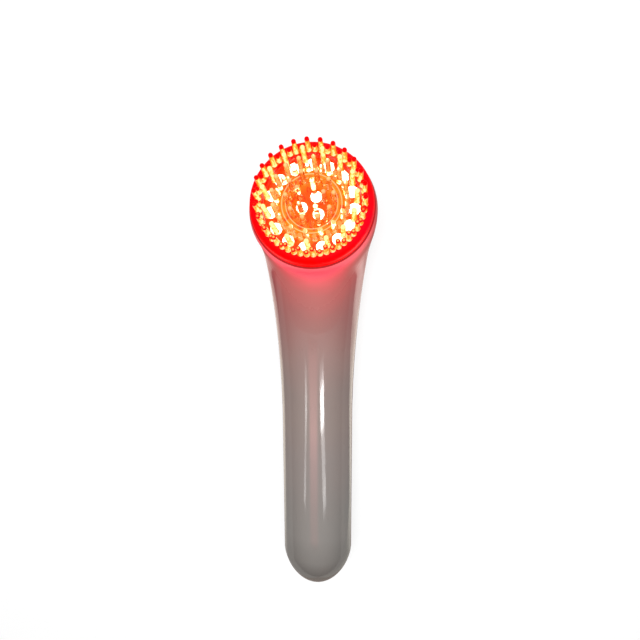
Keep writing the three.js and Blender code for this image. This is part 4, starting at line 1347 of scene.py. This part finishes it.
# Painted shade: the floor beside the head on the far left is painted dark, for the head's shadow.
far_left = number(tree, "LESS_THAN", parts[0], -0.062)
painted_shade_left_of_head = times(tree, span(tree, parts[1], 0.016, 0.03), far_left)
card = blended(tree, painted_shade_left_of_head, card, (0.15, 0.12, 0.12, 1))
glossy = path["Is Glossy Ray"]
straight = number(tree, "MAXIMUM", path["Is Camera Ray"], glossy)
feed(
    shader,
    Base_Color=blended(tree, glossy, (0.32, 0.32, 0.32, 1), (0, 0, 0, 1)),
    Emission_Color=blended(tree, glossy, (0.74, 0.74, 0.74, 1), card),
    Emission_Strength=number(tree, "MAXIMUM", straight, path["Is Transmission Ray"]),
)
dress(floor, floor_finish)
print("floor finish nodes:", len(tree.nodes))

# %% [markdown]
# ## World and lamps
# A wide soft lamp hangs over the head, and a softer light comes from all round and fades to the
# sides, so the handle darkens round its flanks and towards its end. Three cards hang higher up.
# They are seen only in the gloss of the body, where they draw the two long streaks and the broad
# pink one between them. Their places were found by following the streaks back from the camera.
# A black card stands behind the neck, and keeps the soft light out of the neck's own gloss.

# %% Soft lamp and world light
soft_lamp = bpy.data.objects.new("soft_lamp", bpy.data.lights.new("soft_lamp", "AREA"))
bpy.context.collection.objects.link(soft_lamp)
soft_lamp.location = (0, 0.13, 0.62)
soft_lamp.data.shape = "SQUARE"
soft_lamp.data.size = 0.35
soft_lamp.data.energy = 3.1
soft_lamp.visible_glossy = False
soft_lamp.visible_transmission = False
world = bpy.data.worlds.new("studio")
scene.world = world
world.use_nodes = True
tree = world.node_tree
path = put(tree, "LightPath").outputs
way = parts_of(tree, put(tree, "TexCoord").outputs["Generated"])
height = span(tree, way[2], -1)
leaning = span(tree, number(tree, "ADD", way[2], times(tree, way[1], 0.5)), -1)
soft = grey_stops(tree, leaning, (0.5, 0.05), (0.75, 0.28), (1, 0.52))
dim = stops(
    tree, height, (0.5, (0.07, 0.06, 0.06)), (0.7, (0.15, 0.14, 0.13)), (1, (0.45, 0.44, 0.44))
)
through = stops(tree, height, (0.6, (1, 1, 1)), (0.8, (0.55, 0.42, 0.25)), (1, (0.4, 0.28, 0.15)))
lit_by = blended(tree, path["Is Glossy Ray"], soft, dim)
lit_by = blended(tree, path["Is Transmission Ray"], lit_by, through)
seen = blended(tree, path["Is Camera Ray"], lit_by, (1, 1, 1, 1))
feed(tree.nodes["Background"], Color=seen)
print("world nodes:", len(tree.nodes))


# %% Cards for the long streaks
CARD_HEIGHT = 0.14
MATT_BLACK = {"Base_Color": (0, 0, 0, 1), "Roughness": 1, "Specular_IOR_Level": 0}


def strip(name, near, far, width, strengths, tint=(1, 1, 1, 1), soft_share=0.1):
    """A card hung level from one end to the other, seen only by reflection. Its strengths run
    from the far end to the near one, and its sides fade over a share of its half width."""
    (x1, y1), (x2, y2) = near, far
    length = math.hypot(x2 - x1, y2 - y1)
    card_piece = plane(name, width, length)
    card_piece.location = ((x1 + x2) / 2, (y1 + y2) / 2, CARD_HEIGHT)
    card_piece.rotation_euler.z = math.atan2(y1 - y2, x1 - x2) - math.pi / 2
    finish, tree, shader = new_finish(name, **MATT_BLACK)
    glossy = put(tree, "LightPath").outputs["Is Glossy Ray"]
    parts = parts_of(tree, object_place(tree))
    light = grey_stops(tree, span(tree, parts[1], -length / 2, length / 2), *strengths)
    aside = number(tree, "ABSOLUTE", parts[0])
    fade = span(tree, aside, width / 2, width / 2 * (1 - soft_share))
    feed(
        shader,
        Alpha=times(tree, glossy, fade),
        Emission_Color=tinted(tree, light, tint),
        Emission_Strength=times(tree, glossy, 20),
    )
    dress(card_piece, finish)


strip(
    "left_strip", (-0.0625, -0.02), (-0.0957, -0.142), 0.016,
    [(0, 0), (0.03, 0.21), (0.1, 0.22), (0.25, 0.175), (0.38, 0.13), (0.51, 0.16), (0.57, 0.23),
     (0.68, 0.31), (0.74, 0.28), (0.8, 0.23), (0.85, 0.13), (0.91, 0.09), (1, 0)],
)
strip(
    "right_strip", (0.031, -0.016), (0.0595, -0.139), 0.025,
    [(0, 0), (0.06, 0.15), (0.15, 0.27), (0.22, 0.25), (0.3, 0.2), (0.55, 0.21), (0.6, 0.5),
     (0.63, 1), (0.81, 1), (0.84, 0.3), (0.9, 0.13), (0.96, 0.05), (1, 0)],
)
strip(
    "pink_card", (-0.018, -0.006), (-0.018, -0.165), 0.068,
    [(0, 0), (0.08, 0.05), (0.22, 0.06), (0.32, 0.085), (0.476, 0.12), (0.626, 0.185), (0.76, 0.14),
     (0.85, 0.1), (0.91, 0.08), (1, 0)],
    (1, 0.42, 0.42, 1), 0.5,
)

# %% Shade card for the neck
shade = plane("shade_card", 0.2, 0.078)
shade.rotation_euler.x = math.pi / 2
shade.location = (-0.01, 0.024, 0.091)
shade_finish, tree, shader = new_finish("shade card", **MATT_BLACK)
feed(shader, Alpha=put(tree, "LightPath").outputs["Is Glossy Ray"])
dress(shade, shade_finish)
print("stage pieces ready")
